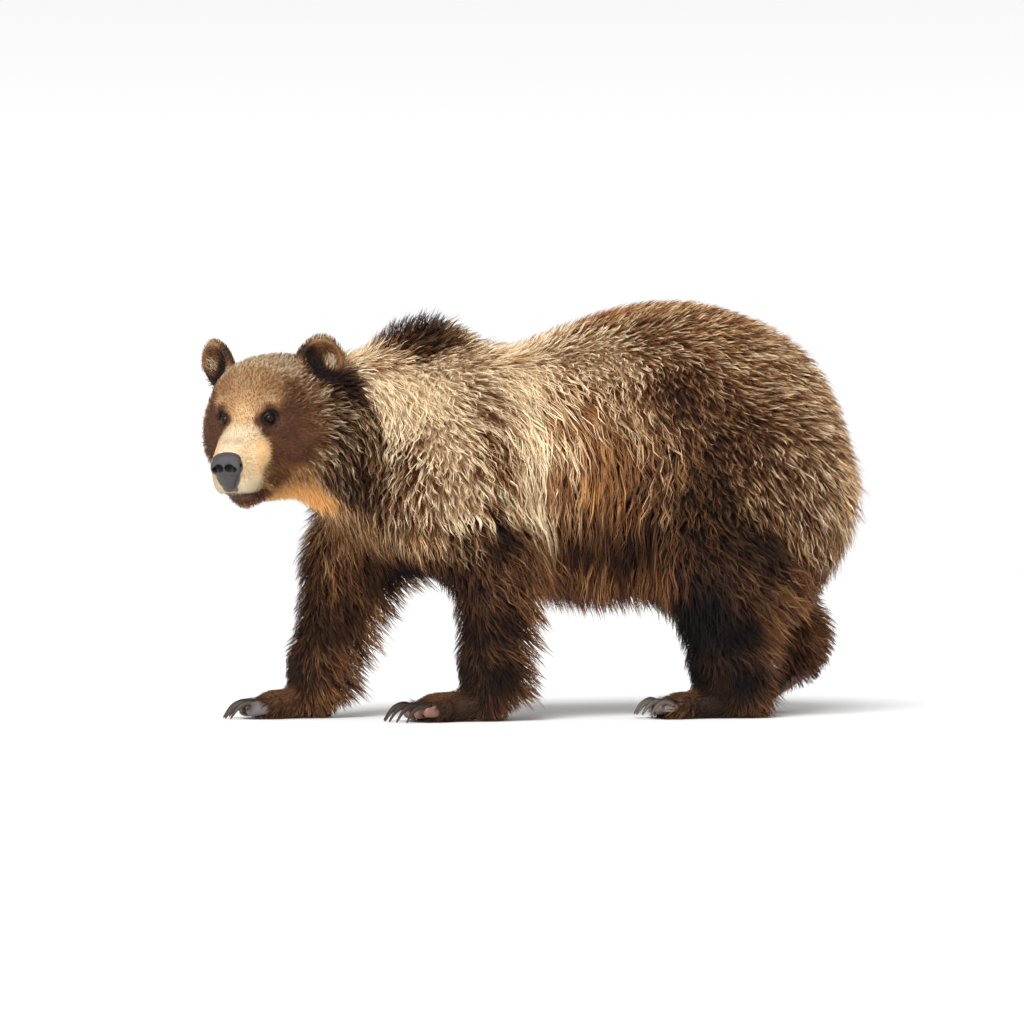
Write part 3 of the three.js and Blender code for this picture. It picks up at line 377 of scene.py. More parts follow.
# The lie and length of the coat, and its markings. At each place: how far it reaches, the way the hair lies,
# its length, how far the tips stand off the core, how wavy it is and how free it hangs, then how pale, dark
# and rufous. Places on the trunk count for both sides.
coatOnTrunk = {
    "humpTop": (-235, 20, 948, 1.1, (0.25, 0.25, 0.8), 42, 34, 1, 0, 0.13, 0.93, 0.1),
    "humpCrest": (-295, 15, 938, 0.9, (0.1, 0.2, 0.8), 42, 34, 1, 0, 0.1, 0.94, 0.1),
    "humpFront": (-345, 10, 915, 0.8, (0.2, 0.1, 0.6), 40, 24, 0.9, 0, 0.12, 0.9, 0.1),
    "humpRear": (-140, 0, 935, 0.9, (0.7, 0.1, 0.2), 40, 18, 0.8, 0, 0.5, 0.42, 0.15),
    "humpSide": (-255, 72, 905, 0.8, (0.3, 0.2, -0.6), 42, 26, 1, 0, 0.16, 0.86, 0.1),
    "humpFoot": (-190, 145, 850, 0.9, (0.3, 0.2, -0.8), 48, 20, 0.9, 0, 0.84, 0.06, 0.2),
    "withers": (-40, 40, 895, 1, (0.9, 0, -0.4), 62, 14, 0.5, 0, 0.72, 0.05, 0.1),
    "neckTop": (-420, 0, 880, 1.1, (0.8, 0, -0.2), 60, 14, 0.4, 0, 0.62, 0.12, 0.1),
    "neckCrest": (-358, 158, 805, 0.9, (0.15, 0.3, -0.9), 80, 22, 0.5, 0, 0.98, 0, 0.05),
    "neckShade": (-368, 95, 862, 0.8, (0.3, 0.3, -0.8), 66, 20, 0.6, 0, 0.56, 0.1, 0.2),
    "neckSide": (-356, 207, 725, 0.8, (0.08, 0, -1), 100, 26, 0.5, 0, 1, 0, 0.05),
    "neckRuff": (-420, 205, 690, 1, (0.25, 0, -1), 48, 30, 1, 0, 0.32, 0.74, 0.1),
    "neckLow": (-405, 180, 575, 1, (0.3, 0, -1), 50, 28, 1, 0, 0.2, 0.84, 0.15),
    "neckLowRear": (-345, 215, 600, 1.2, (0.15, 0, -1), 56, 28, 1, 0, 0.34, 0.62, 0.25),
    # Its dark is partly the coat's own tone and partly painted shade under the throat.
    "neckUnderShaded": (-480, 90, 530, 1, (0.5, 0, -1), 62, 20, 0.4, 0, 0.24, 0.56, 0.5),
    "shoulderTop": (-155, 215, 775, 1, (0.15, 0.2, -1), 48, 26, 1, 0, 0.6, 0.3, 0.25),
    "shoulderCrest": (-240, 200, 780, 0.8, (0.15, 0.2, -1), 60, 24, 0.7, 0, 0.92, 0.02, 0.15),
    "shoulderFront": (-290, 240, 670, 1, (0.12, 0, -1), 52, 28, 1, 0, 0.8, 0.12, 0.15),
    "shoulderFrontLow": (-300, 235, 560, 0.8, (0.15, 0, -1), 54, 28, 1, 0, 0.44, 0.46, 0.3),
    "shoulder": (-225, 255, 670, 1, (0.15, 0, -1), 48, 28, 1, 0, 0.84, 0.1, 0.2),
    "shoulderLow": (-205, 270, 530, 1, (0.15, 0, -1), 50, 26, 1, 0, 0.72, 0.2, 0.3),
    "shoulderRear": (-105, 255, 640, 1.1, (0.12, 0, -1), 56, 26, 0.9, 0, 0.36, 0.44, 0.4),
    "elbowTop": (-185, 262, 445, 0.9, (0.25, 0, -1), 60, 26, 0.7, 0, 0.26, 0.78, 0.15),
    "armpit": (-297, 200, 455, 0.6, (0.3, 0, -1), 60, 18, 0.3, 0, 0.28, 0.5, 0.5),
    "bandTop": (-35, 200, 810, 0.9, (0.12, 0.2, -1), 90, 20, 0.4, 0, 0.9, 0, 0.05),
    "band": (-35, 245, 690, 0.95, (0.1, 0, -1), 150, 24, 0.2, 0, 1, 0, 0.05),
    "bandLow": (-8, 250, 560, 0.8, (0.1, 0, -1), 150, 24, 0.2, 0, 0.96, 0, 0.2),
    "bandEnd": (0, 235, 460, 0.9, (0.08, 0, -1), 130, 26, 0.2, 0.4, 0.3, 0.72, 0.4),
    "flankEdge": (46, 255, 575, 0.95, (0.08, 0, -1), 150, 26, 0.25, 0, 0.36, 0.38, 0.45),
    "flankEdgeTop": (48, 252, 665, 0.8, (0.08, 0, -1), 145, 26, 0.25, 0, 0.5, 0.24, 0.4),
    "backFront": (105, 90, 905, 1.1, (0.6, 0.1, -0.6), 42, 18, 0.9, 0, 0.66, 0.18, 0.15),
    "flankFront": (60, 245, 740, 0.9, (0.12, 0, -1), 130, 22, 0.35, 0, 0.52, 0.16, 0.4),
    "flank": (115, 260, 660, 1, (0.08, 0, -1), 160, 28, 0.2, 0, 0.24, 0.4, 0.52),
    "flankSkirt": (140, 255, 535, 0.9, (0.02, 0, -1), 150, 30, 0.15, 0.3, 0.18, 0.8, 0.35),
    "flankMiddle": (190, 265, 600, 0.9, (-0.02, 0, -1), 160, 28, 0.15, 0, 0.26, 0.5, 0.5),
    "flankRear": (275, 270, 600, 1, (-0.2, 0, -1), 90, 28, 0.8, 0, 0.24, 0.62, 0.35),
    "flankUpper": (190, 250, 740, 1, (0.1, 0, -1), 70, 26, 0.55, 0, 0.38, 0.36, 0.38),
    "flankLow": (90, 235, 455, 0.9, (0.05, 0, -1), 165, 30, 0.15, 0.5, 0.08, 0.9, 0.25),
    "flankLowRear": (220, 235, 455, 1, (-0.05, 0, -1), 165, 30, 0.15, 0.6, 0.08, 0.92, 0.3),
    "fringe": (160, 190, 385, 1, (0.05, -0.15, -1), 185, 20, 0.25, 1, 0.3, 0.46, 0.6),
    "fringeRear": (300, 195, 385, 1, (-0.1, -0.15, -1), 165, 20, 0.25, 1, 0.18, 0.64, 0.6),
    "bellyFront": (-40, 150, 375, 0.9, (0.3, 0, -1), 130, 20, 0.3, 0.9, 0.34, 0.4, 0.6),
    "belly": (160, 60, 350, 1.1, (0.3, 0, -1), 125, 16, 0.2, 1, 0.14, 0.62, 0.6),
    "groin": (420, 60, 350, 1, (0.2, 0, -1), 100, 18, 0.2, 0.7, 0.03, 0.95, 0.2),
    "thighFront": (372, 238, 290, 0.9, (0.2, 0, -1), 80, 22, 0.4, 0.5, 0, 1, 0),
    "haunchFront": (372, 272, 440, 0.9, (0.2, 0, -1), 60, 24, 0.7, 0.2, 0.08, 0.9, 0.1),
    "chest": (-420, 60, 480, 1, (0.4, 0, -1), 66, 18, 0.3, 0.3, 0.24, 0.62, 0.5),
    "chestSide": (-350, 195, 510, 0.8, (0.3, 0, -1), 66, 24, 0.7, 0, 0.32, 0.58, 0.35),
    "breast": (-250, 50, 385, 1, (0.5, 0, -1), 65, 14, 0.2, 0.2, 0.03, 1, 0.1),
    "backMiddle": (190, 175, 872, 1, (0.5, 0.2, -0.7), 42, 22, 1, 0, 0.7, 0.16, 0.2),
    "backRear": (270, 170, 910, 0.9, (0.7, 0.2, -0.5), 42, 22, 1, 0, 0.38, 0.42, 0.25),
    "backRidge": (200, 0, 945, 1, (1, 0, 0), 44, 12, 0.7, 0, 0.22, 0.3, 0.5),
    "loinRidge": (310, 30, 995, 1, (1, 0, -0.05), 44, 11, 0.7, 0, 0.32, 0.34, 0.45),
    "rumpTop": (440, 130, 965, 1.1, (1, 0.1, -0.3), 42, 14, 0.9, 0, 0.34, 0.4, 0.45),
    "rumpCrest": (520, 0, 995, 1, (1, 0, -0.3), 46, 12, 0.8, 0, 0.36, 0.34, 0.45),
    "loinShadow": (320, 255, 780, 0.8, (0.3, 0, -0.9), 44, 26, 1, 0, 0.22, 0.72, 0.35),
    "rumpUpper": (560, 200, 875, 1.2, (0.7, 0.1, -0.6), 42, 22, 1, 0, 0.4, 0.38, 0.4),
    "rumpSide": (470, 290, 700, 1, (0.25, 0, -1), 42, 26, 1, 0, 0.24, 0.7, 0.35),
    "rumpSideRear": (600, 260, 740, 1, (0.45, 0, -0.9), 42, 24, 1, 0, 0.34, 0.52, 0.4),
    "rumpLow": (385, 280, 550, 1, (0.15, 0, -1), 46, 28, 1, 0, 0.16, 0.88, 0.2),
    "rumpRear": (690, 190, 790, 1.1, (0.5, 0, -0.8), 46, 20, 0.9, 0, 0.44, 0.36, 0.4),
    "haunch": (540, 290, 560, 1, (0.25, 0, -1), 46, 26, 1, 0, 0.3, 0.66, 0.25),
    "haunchLow": (480, 280, 440, 1, (0.25, 0, -1), 50, 26, 0.9, 0, 0.14, 0.92, 0.05),
    "haunchRear": (680, 230, 560, 1, (0.3, 0, -1), 52, 26, 0.9, 0, 0.36, 0.54, 0.3),
    "buttock": (770, 200, 580, 0.9, (0.3, 0, -1), 70, 32, 0.6, 0.2, 0.44, 0.38, 0.5),
    "croup": (810, 60, 760, 1, (0.6, 0, -0.9), 56, 18, 0.6, 0, 0.36, 0.4, 0.35),
    "seat": (830, 80, 560, 0.9, (0.2, 0, -1), 75, 26, 0.4, 0.2, 0.32, 0.5, 0.3),
    "tailRoot": (850, 0, 640, 0.4, (0.3, 0, -1), 50, 14, 0.2, 0, 0.35, 0.45, 0.3),
    "tailTip": (880, 0, 560, 0.4, (0.1, 0, -1), 45, 12, 0.2, 0, 0.4, 0.45, 0.3),
    "underTail": (800, 0, 470, 0.8, (0.2, 0, -1), 60, 14, 0.2, 0.2, 0.15, 0.7, 0.2),
}
# The same on each leg: along its stops, which are the three joints, then the ball of the foot and its heel,
# and the way from there; y is outwards.
coatOnLegs = {
    "thighOut": (0.6, (0, 120, -20), 1, (0.4, 0, -1), 60, 26, 0.6, 0, 0.04, 1, 0),
    "thighIn": (0.7, (0, -110, -20), 0.9, (0.4, 0, -1), 50, 14, 0.3, 0, 0.05, 0.9, 0.2),
    "elbowRear": (1, (105, 20, 0), 1.3, (1, 0, -0.8), 125, 46, 0.7, 1, 0.16, 0.62, 0.6),
    "elbowFront": (1, (-95, 20, 0), 0.9, (0.25, 0, -1), 50, 18, 0.4, 0, 0.06, 0.92, 0.2),
    "elbowOut": (1, (0, 105, 0), 0.9, (0.4, 0, -1), 56, 24, 0.6, 0, 0.16, 0.78, 0.3),
    "shinRear": (1.5, (82, 10, 0), 1.3, (1, 0, -0.8), 120, 44, 0.7, 1, 0.16, 0.62, 0.6),
    "shinFront": (1.5, (-80, 10, 0), 0.9, (0.2, 0, -1), 42, 14, 0.3, 0, 0.05, 0.95, 0),
    "shinOut": (1.5, (0, 80, 0), 0.8, (0.5, 0, -1), 48, 18, 0.4, 0, 0.06, 0.94, 0.15),
    "shinIn": (1.5, (0, -80, 0), 0.8, (0.5, 0, -1), 50, 14, 0.3, 0, 0.06, 0.93, 0.2),
    "wristRear": (1.95, (70, 0, 0), 1, (1, 0, -0.8), 88, 30, 0.7, 1, 0.12, 0.7, 0.5),
    "wristFront": (1.95, (-66, 0, 0), 0.7, (-0.3, 0, -1), 18, 4, 0.2, 0, 0.06, 0.92, 0.05),
    "wristOut": (1.95, (0, 60, 0), 0.6, (0.2, 0, -1), 28, 8, 0.2, 0, 0.05, 0.96, 0),
    "pawTop": (3, (10, 0, 30), 0.6, (-1, 0, -0.2), 9, 2, 0.2, 0, 0.26, 0.62, 0),
    "pawSide": (3.4, (0, 55, 5), 0.6, (-0.9, 0.1, -0.4), 9, 2, 0.2, 0, 0.14, 0.84, 0),
    "toes": (3, (-62, 0, 10), 0.5, (-1, 0, -0.3), 4, 0.8, 0.1, 0, 0.1, 0.86, 0),
    "heelRear": (4, (44, 0, -6), 0.6, (0.7, 0, -1), 40, 14, 0.3, 0.5, 0.1, 0.75, 0.4),
}
# How far the places of each leg reach, the share of the hair behind its lower part, and how its markings
# differ.
legCoat = {
    "fore_left": {"reach": 0.8, "rear": 1, "tint": (0, 0, 0)},
    "fore_right": {"reach": 0.8, "rear": 1, "tint": (0.03, -0.03, 0.12)},
    "hind_left": {"reach": 0.62, "rear": 1, "tint": (0, 0.08, -0.1)},
    "hind_right": {"reach": 0.62, "rear": 0.6, "tint": (0.02, 0.04, 0)},
}
legRear = {"along": 1.2, "off": 40}  # what counts as behind the lower part of a leg

# Places on the head, in its own axes, for both sides.
coatOnHead = {
    "noseBridge": (215, 0, 2, 0.5, (-1, 0, 0), 4, 0.5, 0.1, 0, 0.86, 0.05, 0),
    "bridge": (165, 0, 22, 0.5, (-1, 0, 0.1), 5, 0.7, 0.1, 0, 0.86, 0, 0),
    "betweenEyes": (105, 0, 60, 0.45, (-1, 0, 0.4), 7, 1, 0.1, 0, 0.6, 0.04, 0.48),
    "forehead": (75, 0, 104, 0.7, (-1, 0, 0.5), 12, 2, 0.3, 0, 0.58, 0.1, 0.42),
    "foreheadSide": (75, 45, 95, 0.5, (-1, 0.4, 0.5), 11, 1.5, 0.5, 0, 0.5, 0.18, 0.38),
    "crown": (8, 0, 142, 0.7, (-1, 0, 0.1), 15, 2.5, 0.7, 0, 0.76, 0.02, 0.3),
    "crownSide": (8, 60, 126, 0.6, (-1, 0.3, 0), 18, 4.5, 1, 0, 0.76, 0.1, 0.25),
    "nape": (-80, 0, 128, 0.9, (-1, 0, -0.2), 28, 5, 0.6, 0, 0.64, 0.1, 0.25),
    "muzzleSide": (170, 52, -30, 0.6, (-0.9, 0, -0.4), 5, 0.6, 0.1, 0, 0.86, 0, 0.35),
    "upperLip": (225, 36, -72, 0.5, (-0.6, 0, -0.8), 4, 0.6, 0.1, 0, 0.95, 0, 0.1),
    "brow": (90, 48, 66, 0.35, (-0.8, 0.3, 0.6), 8, 1.2, 0.2, 0, 0.64, 0.04, 0.4),
    "eyeTop": (106, 52, 55, 0.2, (-0.8, 0.2, 0.7), 4, 0.6, 0.1, 0, 0.1, 0.8, 0.2),
    "eyeFront": (128, 38, 34, 0.2, (-0.8, -0.4, 0.5), 4, 0.5, 0.1, 0, 0.1, 0.8, 0.2),
    "eyeLow": (116, 54, 14, 0.2, (-0.8, 0.4, -0.4), 4, 0.6, 0.1, 0, 0.08, 0.72, 0.4),
    "eyeRear": (80, 78, 34, 0.4, (-0.9, 0.3, 0), 9, 1.5, 0.2, 0, 0.1, 0.6, 0.35),
    "cheekTop": (91, 84, 4, 0.5, (-0.9, 0.3, 0), 10, 1.5, 0.2, 0, 0.06, 0.62, 0.45),
    "cheekFront": (118, 66, -20, 0.4, (-0.9, 0.3, -0.2), 7, 1, 0.1, 0, 0.08, 0.52, 0.6),
    "cheek": (82, 96, -35, 0.6, (-0.9, 0.2, -0.3), 12, 2, 0.3, 0, 0.1, 0.6, 0.45),
    "cheekRear": (62, 118, -12, 0.6, (-0.9, 0.1, -0.3), 14, 2, 0.7, 0, 0.2, 0.5, 0.35),
    "flare": (40, 130, 0, 0.5, (-0.9, 0, -0.4), 22, 5, 1, 0, 0.5, 0.4, 0.2),
    "flareLow": (42, 122, -62, 0.5, (-0.8, 0, -0.6), 26, 8, 1, 0, 0.52, 0.34, 0.4),
    "temple": (60, 94, 68, 0.5, (-1, 0.2, -0.1), 21, 6, 1, 0, 0.36, 0.56, 0.2),
    "templeRear": (16, 116, 72, 0.5, (-1, 0.1, -0.2), 23, 7, 1, 0, 0.62, 0.3, 0.15),
    "jaw": (90, 58, -96, 0.5, (-0.8, 0, -0.4), 13, 2.5, 0.2, 0, 0.2, 0.4, 0.65),
    "jawRear": (55, 88, -95, 0.5, (-0.8, 0, -0.5), 28, 7, 0.4, 0, 0.5, 0.12, 0.85),
    "throat": (5, 62, -145, 0.9, (-0.8, 0, -0.4), 32, 8, 0.3, 0, 1, 0, 1),
    "throatMiddle": (40, 0, -150, 1, (-0.8, 0, -0.4), 30, 8, 0.2, 0, 1, 0, 1),
    "throatRear": (-50, 90, -175, 0.8, (-0.7, 0, -0.6), 48, 16, 0.7, 0, 0.55, 0.22, 0.6),
    "chin": (165, 0, -134, 0.5, (-0.5, 0, -0.9), 26, 7, 0.3, 0.8, 0.4, 0.15, 1),
    "lowerLip": (195, 22, -112, 0.35, (-0.6, 0, -0.6), 6, 1, 0.1, 0, 0.1, 0.75, 0.4),
    "ruffTop": (-4, 158, 25, 0.7, (-0.8, 0, -0.7), 34, 22, 1, 0, 0.46, 0.66, 0.1),
    "ruff": (0, 166, -35, 0.8, (-0.8, 0, -0.8), 36, 25, 1, 0, 0.46, 0.66, 0.1),
    "ruffLow": (-8, 150, -100, 0.8, (-0.7, 0, -0.9), 40, 26, 1, 0, 0.36, 0.8, 0.15),
    "ruffGap": (-25, 165, -130, 0.7, (-0.7, 0, -0.9), 48, 22, 1, 0, 0.2, 0.95, 0),
    "earBehind": (-40, 165, 60, 0.55, (-0.9, 0, -0.6), 32, 11, 0.8, 0, 0.08, 0.97, 0),
    "earBack": (-85, 112, 130, 0.5, (-0.3, 0.1, 1), 8, 1, 0.3, 0, 0.42, 0.45, 0.25),
    "earRim": (-56, 120, 170, 0.4, (0, 0.1, 1), 14, 7, 0.4, 0, 0.54, 0.2, 0.4),
    "earOut": (-62, 156, 126, 0.35, (0, 0.3, 1), 6, 1, 0.3, 0, 0.46, 0.34, 0.35),
    "earIn": (-40, 84, 130, 0.4, (0.2, -0.6, 0.8), 6, 1.2, 0.3, 0, 0.08, 0.98, 0.1),
    "earCup": (-50, 108, 108, 0.42, (0.5, 0.3, 0.8), 7, 2, 0.3, 0, 0.04, 1, 0),
    "earTuft": (-58, 129, 116, 0.28, (0.4, 0.2, 1), 27, 13, 0.5, 0, 1, 0, 0.1),
    "earBase": (-30, 104, 84, 0.5, (-0.7, 0.6, 0.2), 9, 2, 0.3, 0, 0.05, 1, 0),
}
farCheekLift = 0.55  # the coat lies closer on the side that the head turns away from
traitNames = ("lieX", "lieY", "lieZ", "length", "lift", "wave", "hang", "pale", "dark", "rufous")
# The markings, then the painted shade and painted light of short hair.
markAndShadeNames = ("pale", "dark", "rufous", "shade")

# Markings on the face that end more sharply, in the head's own axes: where, how large, how soft, and what
# they are.
faceMarks = {
    "throat": {"at": (0, 60, -155), "size": (95, 62, 34), "soft": 30, "marks": (1.0, 0, 1.2)},
    "muzzle": {"at": (218, 0, -20), "size": (69, 92, 84), "soft": 8, "marks": (0.92, 0, 0.55)},
    "muzzleEdge": {"at": (164, 56, -30), "size": (26, 20, 54), "soft": 26, "marks": (0.88, 0, 0.72)},
    "bridge": {"at": (140, 0, 46), "size": (44, 25, 22), "soft": 14, "marks": (0.72, 0, 0.55)},
    "muzzleTop": {"at": (196, 0, 8), "size": (60, 25, 30), "soft": 22, "marks": (0.96, 0, 0.05)},
    "upperLip": {"at": (212, 34, -82), "size": (50, 26, 18), "soft": 14, "marks": (0.98, 0, 0.1)},
    "greyPatch": {"at": (198, 12, 8), "size": (12, 12, 9), "soft": 10, "marks": (0.82, 0.14, 0)},
    "tearLine": {"at": (131, 47, 12), "size": (13, 8, 13), "soft": 9, "marks": (0.04, 0.76, 0.4)},
    "eyeRing": {"at": (108, 50, 36), "size": (24, 20, 18), "soft": 6, "marks": (0.04, 0.92, 0.2)},
    "lowerLip": {"at": (168, 0, -122), "size": (80, 62, 22), "soft": 7, "marks": (0.16, 0.60, 0.8)},
    "chinTuft": {"at": (165, 0, -152), "size": (60, 48, 26), "soft": 12, "marks": (0.80, 0, 1.2)},
}

# Painted light: where short hair is painted brighter, on the muzzle's side, the throat and the jaw, which
# face away from the lamps.
paintedLightParts = {
    "muzzleSide": {"at": (182, 58, -36), "size": (46, 28, 44), "soft": 30, "more": 0.30},
    "throat": {"at": (0, 60, -155), "size": (90, 60, 40), "soft": 36, "more": 0.30},
    "jaw": {"at": (95, 70, -60), "size": (30, 24, 34), "soft": 24, "more": 0.12},
}


def coatPlaces():
    rows = []
    for x, y, z, reach, lie, *rest in coatOnTrunk.values():
        rows += [(x, y * side, z, reach, lie[0], lie[1] * side, lie[2], *rest) for side in (-1, 1)]
    for name, leg in legs.items():
        own = legCoat[name]
        stops = np.array((*leg["joints"], leg["foot"]["ball"], leg["foot"]["heel"]), float)
        for along, off, reach, lie, length, lift, wave, hang, *marks in coatOnLegs.values():
            i = min(int(along), 3)
            x, y, z = stops[i] + (along - i) * (stops[i + 1] - stops[i]) + off
            if along > legRear["along"] and off[0] > legRear["off"]:
                length *= own["rear"]
                lift *= own["rear"]
            marks = np.clip(np.array(marks) + own["tint"], 0, 1)
            rows.append((x, y * leg["side"], z, reach * own["reach"], *lie, length, lift, wave, hang, *marks))
    for x, y, z, reach, lie, length, lift, *rest in coatOnHead.values():
        for side, share in ((-1, farCheekLift), (1, 1)):
            at = fromHead([(x, y * side, z)])[0]
            way = unit(headTurn @ (lie[0], lie[1] * side, lie[2]))
            rows.append((*at, reach, *way, length, lift * share, *rest))
    return np.array(rows, float)


places = coatPlaces()
traitBlend = {"span": 55, "forms": 0.5, "marks": 0.12}


# Forms follow all the places near by, and markings mostly the nearest one.
def traitRows(p):
    forms, marks = np.zeros((len(p), 7)), np.zeros((len(p), 3))
    formWeight, markWeight = np.zeros((len(p), 1)), np.zeros((len(p), 1))
    for row in places:
        far = (((p - row[:3]) ** 2).sum(1) / (row[3] * traitBlend["span"]) ** 2)[:, None]
        w = 1 / (far**2 + traitBlend["forms"])
        forms += w * row[4:11]
        formWeight += w
        w = 1 / (far**3 + traitBlend["marks"])
        marks += w * row[11:]
        markWeight += w
    marks /= markWeight
    q = folded(toHead(p))
    for mark in faceMarks.values():
        marks += insideOf(mark, q)[:, None] * (mark["marks"] - marks)
    return np.hstack([forms / formWeight, marks])


coreDepth = {"share": 0.2, "most": 20}  # how deep the skin lies under long hair
# Painted shade: short hair is painted darker than long hair, which its own shadows darken; the shade rises
# with length.
shortShade = {"least": 0.56, "gain": 0.44, "from": 10, "over": 45}


def traitsAt(p):
    values = dict(zip(traitNames, inParts(traitRows, p).T))
    values["lie"] = unit(np.stack([values.pop(name) for name in ("lieX", "lieY", "lieZ")], 1))
    values["depth"] = np.minimum(coreDepth["share"] * values["length"], coreDepth["most"])
    grown = smooth((values["length"] - shortShade["from"]) / shortShade["over"])
    values["shade"] = shortShade["least"] + shortShade["gain"] * grown
    q = folded(toHead(p))
    # Painted light: the shade of short hair is raised on these parts.
    for part in paintedLightParts.values():
        values["shade"] += part["more"] * insideOf(part, q)
    return values


# Where no hair grows: eyelids, lips, the front of the muzzle and the soles.
bareParts = {
    "lid": {"at": eye["at"], "size": (18, 17, 14), "soft": 3},
    "noseSeat": {"at": (242, 0, -35), "size": (24, 33, 27), "soft": 4},
    "lipFront": {"at": (246, 0, -54), "size": (24, 27, 34), "soft": 5},
    "lipTip": {"at": (240, 0, -82), "size": (22, 17, 22), "soft": 5},
    "lowerLipFront": {"at": (205, 0, -106), "size": (30, 22, 5), "soft": 5},
}
lipLine = {"edge": 1.4, "soft": 5, "from": 122, "halfWidth": 75}
soleHeight = 7
# The tips of the toes, how long they are bare and how grey, then the sole that the raised heel shows.
toeSkin = {"halfWidth": 11, "halfHeight": 22, "soft": 6, "ahead": 28, "height": 24}
toeLength = {"fore_left": 30, "fore_right": 36, "hind_left": 30, "hind_right": 26}
toeGrey = {"fore_left": 0.1, "fore_right": 1.0, "hind_left": 0.6, "hind_right": 0.5}
raisedSole = {"root": (702, 138, 10), "tip": (838, 138, 112), "rootRadius": 27, "tipRadius": 27}
raisedSoleSoft = 8


def toeSkinAt(p):
    share, grey = np.zeros(len(p)), np.zeros(len(p))
    for name, leg in legs.items():
        foot, length = leg["foot"], toeLength[name]
        size = (length, toeSkin["halfWidth"], toeSkin["halfHeight"])
        for _, tip, forward in toesOf(foot):
            x, y = tip[:2] + forward * (foot["front"] + toeSkin["ahead"] - length)
            at = (x, y * leg["side"], toeSkin["height"])
            patch = ellipsoid(at, size, yaw=foot["turn"] * leg["side"])
            inside = smooth(0.5 - patch(p) / toeSkin["soft"])
            share = np.maximum(share, inside)
            grey[inside > 0] = toeGrey[name]
    return np.maximum(share, smooth(0.5 - limb(**raisedSole)(p) / raisedSoleSoft)), grey


# How bare the skin is, how grey, and how far it is an eyelid or a toe.
def bareAt(p):
    q = toHead(p)
    lip = smooth(lipLine["edge"] - alongMouth(q, 0) / lipLine["soft"])
    lip = np.where((q[:, 0] > lipLine["from"]) & (np.abs(q[:, 1]) < lipLine["halfWidth"]), lip, 0)
    parts = {name: insideOf(part, folded(q)) for name, part in bareParts.items()}
    sole = np.where(p[:, 2] < soleHeight, 1.0, 0.0)
    toes, toesGrey = toeSkinAt(p)
    grey = np.max([*(parts[name] for name in ("noseSeat", "lipFront", "lipTip")), toesGrey], axis=0)
    return np.stack([np.max([lip, sole, toes, *parts.values()], axis=0), grey, parts["lid"], toes], 1)


# A closed surface of four-sided faces. A coarse grid finds the cells that lie near it.
def surfaceOf(shape, low, high, cell, coarse=4, margin=1.4, beyond=60.0):
    low = np.array(low, float)
    counts = np.ceil((np.array(high) - low) / cell).astype(int) + 1
    index = np.stack(np.meshgrid(*(np.arange(n) for n in counts), indexing="ij"), -1).reshape(-1, 3)
    values = np.full(len(index), beyond)
    near = (index % coarse == 0).all(1)
    rough = np.full(-(-counts // coarse), beyond)
    rough[tuple((index[near] // coarse).T)] = inParts(shape, low + (index[near] + coarse / 2) * cell)
    guess = rough[tuple((index // coarse).T)]
    close = np.abs(guess) < coarse * cell * margin
    values[guess < 0] = -beyond
    values[close] = inParts(shape, low + index[close] * cell)
    grid = openvdb.FloatGrid(beyond)
    grid.copyFromArray(values.reshape(counts).astype(np.float32))
    points, quads = grid.convertToQuads(isovalue=0.0)
    return low + points.astype(float) * cell, quads[:, ::-1].tolist()


def addObject(name, data):
    added = bpy.data.objects.new(name, data)
    bpy.context.scene.collection.objects.link(added)
    return added


def addPiece(mesh, material):
    mesh.materials.append(material)
    mesh.shade_smooth()
    return addObject(mesh.name, mesh)


def addMesh(name, points, faces, material):
    mesh = bpy.data.meshes.new(name)
    mesh.from_pydata(toFrame(points), [], faces)
    return addPiece(mesh, material)


# The same from arrays of triangles, which is quicker for the coat.
def addTriangles(name, points, faces, material):
    mesh = bpy.data.meshes.new(name)
    mesh.vertices.add(len(points))
    mesh.vertices.foreach_set("co", toFrame(points).ravel())
    mesh.loops.add(faces.size)
    mesh.loops.foreach_set("vertex_index", faces.ravel())
    mesh.polygons.add(len(faces))
    mesh.polygons.foreach_set("loop_start", np.arange(0, faces.size, 3))
    mesh.update(calc_edges=True)
    return addPiece(mesh, material)


# Divides the edges at the chosen points.
def fineFaces(points, faces, chosen):
    mesh = bpy.data.meshes.new("fine")
    mesh.from_pydata(points, [], faces)
    work = bmesh.new()
    work.from_mesh(mesh)
    wanted = chosen(points)
    edges = [e for e in work.edges if wanted[e.verts[0].index] or wanted[e.verts[1].index]]
    bmesh.ops.subdivide_edges(work, edges=edges, cuts=1, use_grid_fill=True)
    bmesh.ops.triangulate(work, faces=[f for f in work.faces if len(f.verts) > 4])
    work.to_mesh(mesh)
    work.free()
    co = np.zeros(len(mesh.vertices) * 3)
    mesh.vertices.foreach_get("co", co)
    faces = [tuple(polygon.vertices) for polygon in mesh.polygons]
    bpy.data.meshes.remove(mesh)
    return co.reshape(-1, 3), faces


def settled(shape, p, height, steps):
    return inParts(lambda part, level: settle(shape, part, level, steps), p, height)


def setColours(mesh, name, values):
    rows = np.ones((len(mesh.vertices), 4), np.float32)
    rows[:, : values.shape[1]] = values
    mesh.attributes.new(name, "FLOAT_COLOR", "POINT").data.foreach_set("color", rows.ravel())


def setNumbers(mesh, name, values):
    mesh.attributes.new(name, "FLOAT", "POINT").data.foreach_set("value", values)


def nodesOf(name):
    material = bpy.data.materials.new(name)
    material.use_nodes = True
    return material, material.node_tree, material.node_tree.nodes["Principled BSDF"]


# Links each socket, and sets each plain value.
def feed(tree, node, inputs):
    for key, value in inputs.items():
        if isinstance(value, bpy.types.NodeSocket):
            tree.links.new(value, node.inputs[key])
        else:
            node.inputs[key].default_value = value


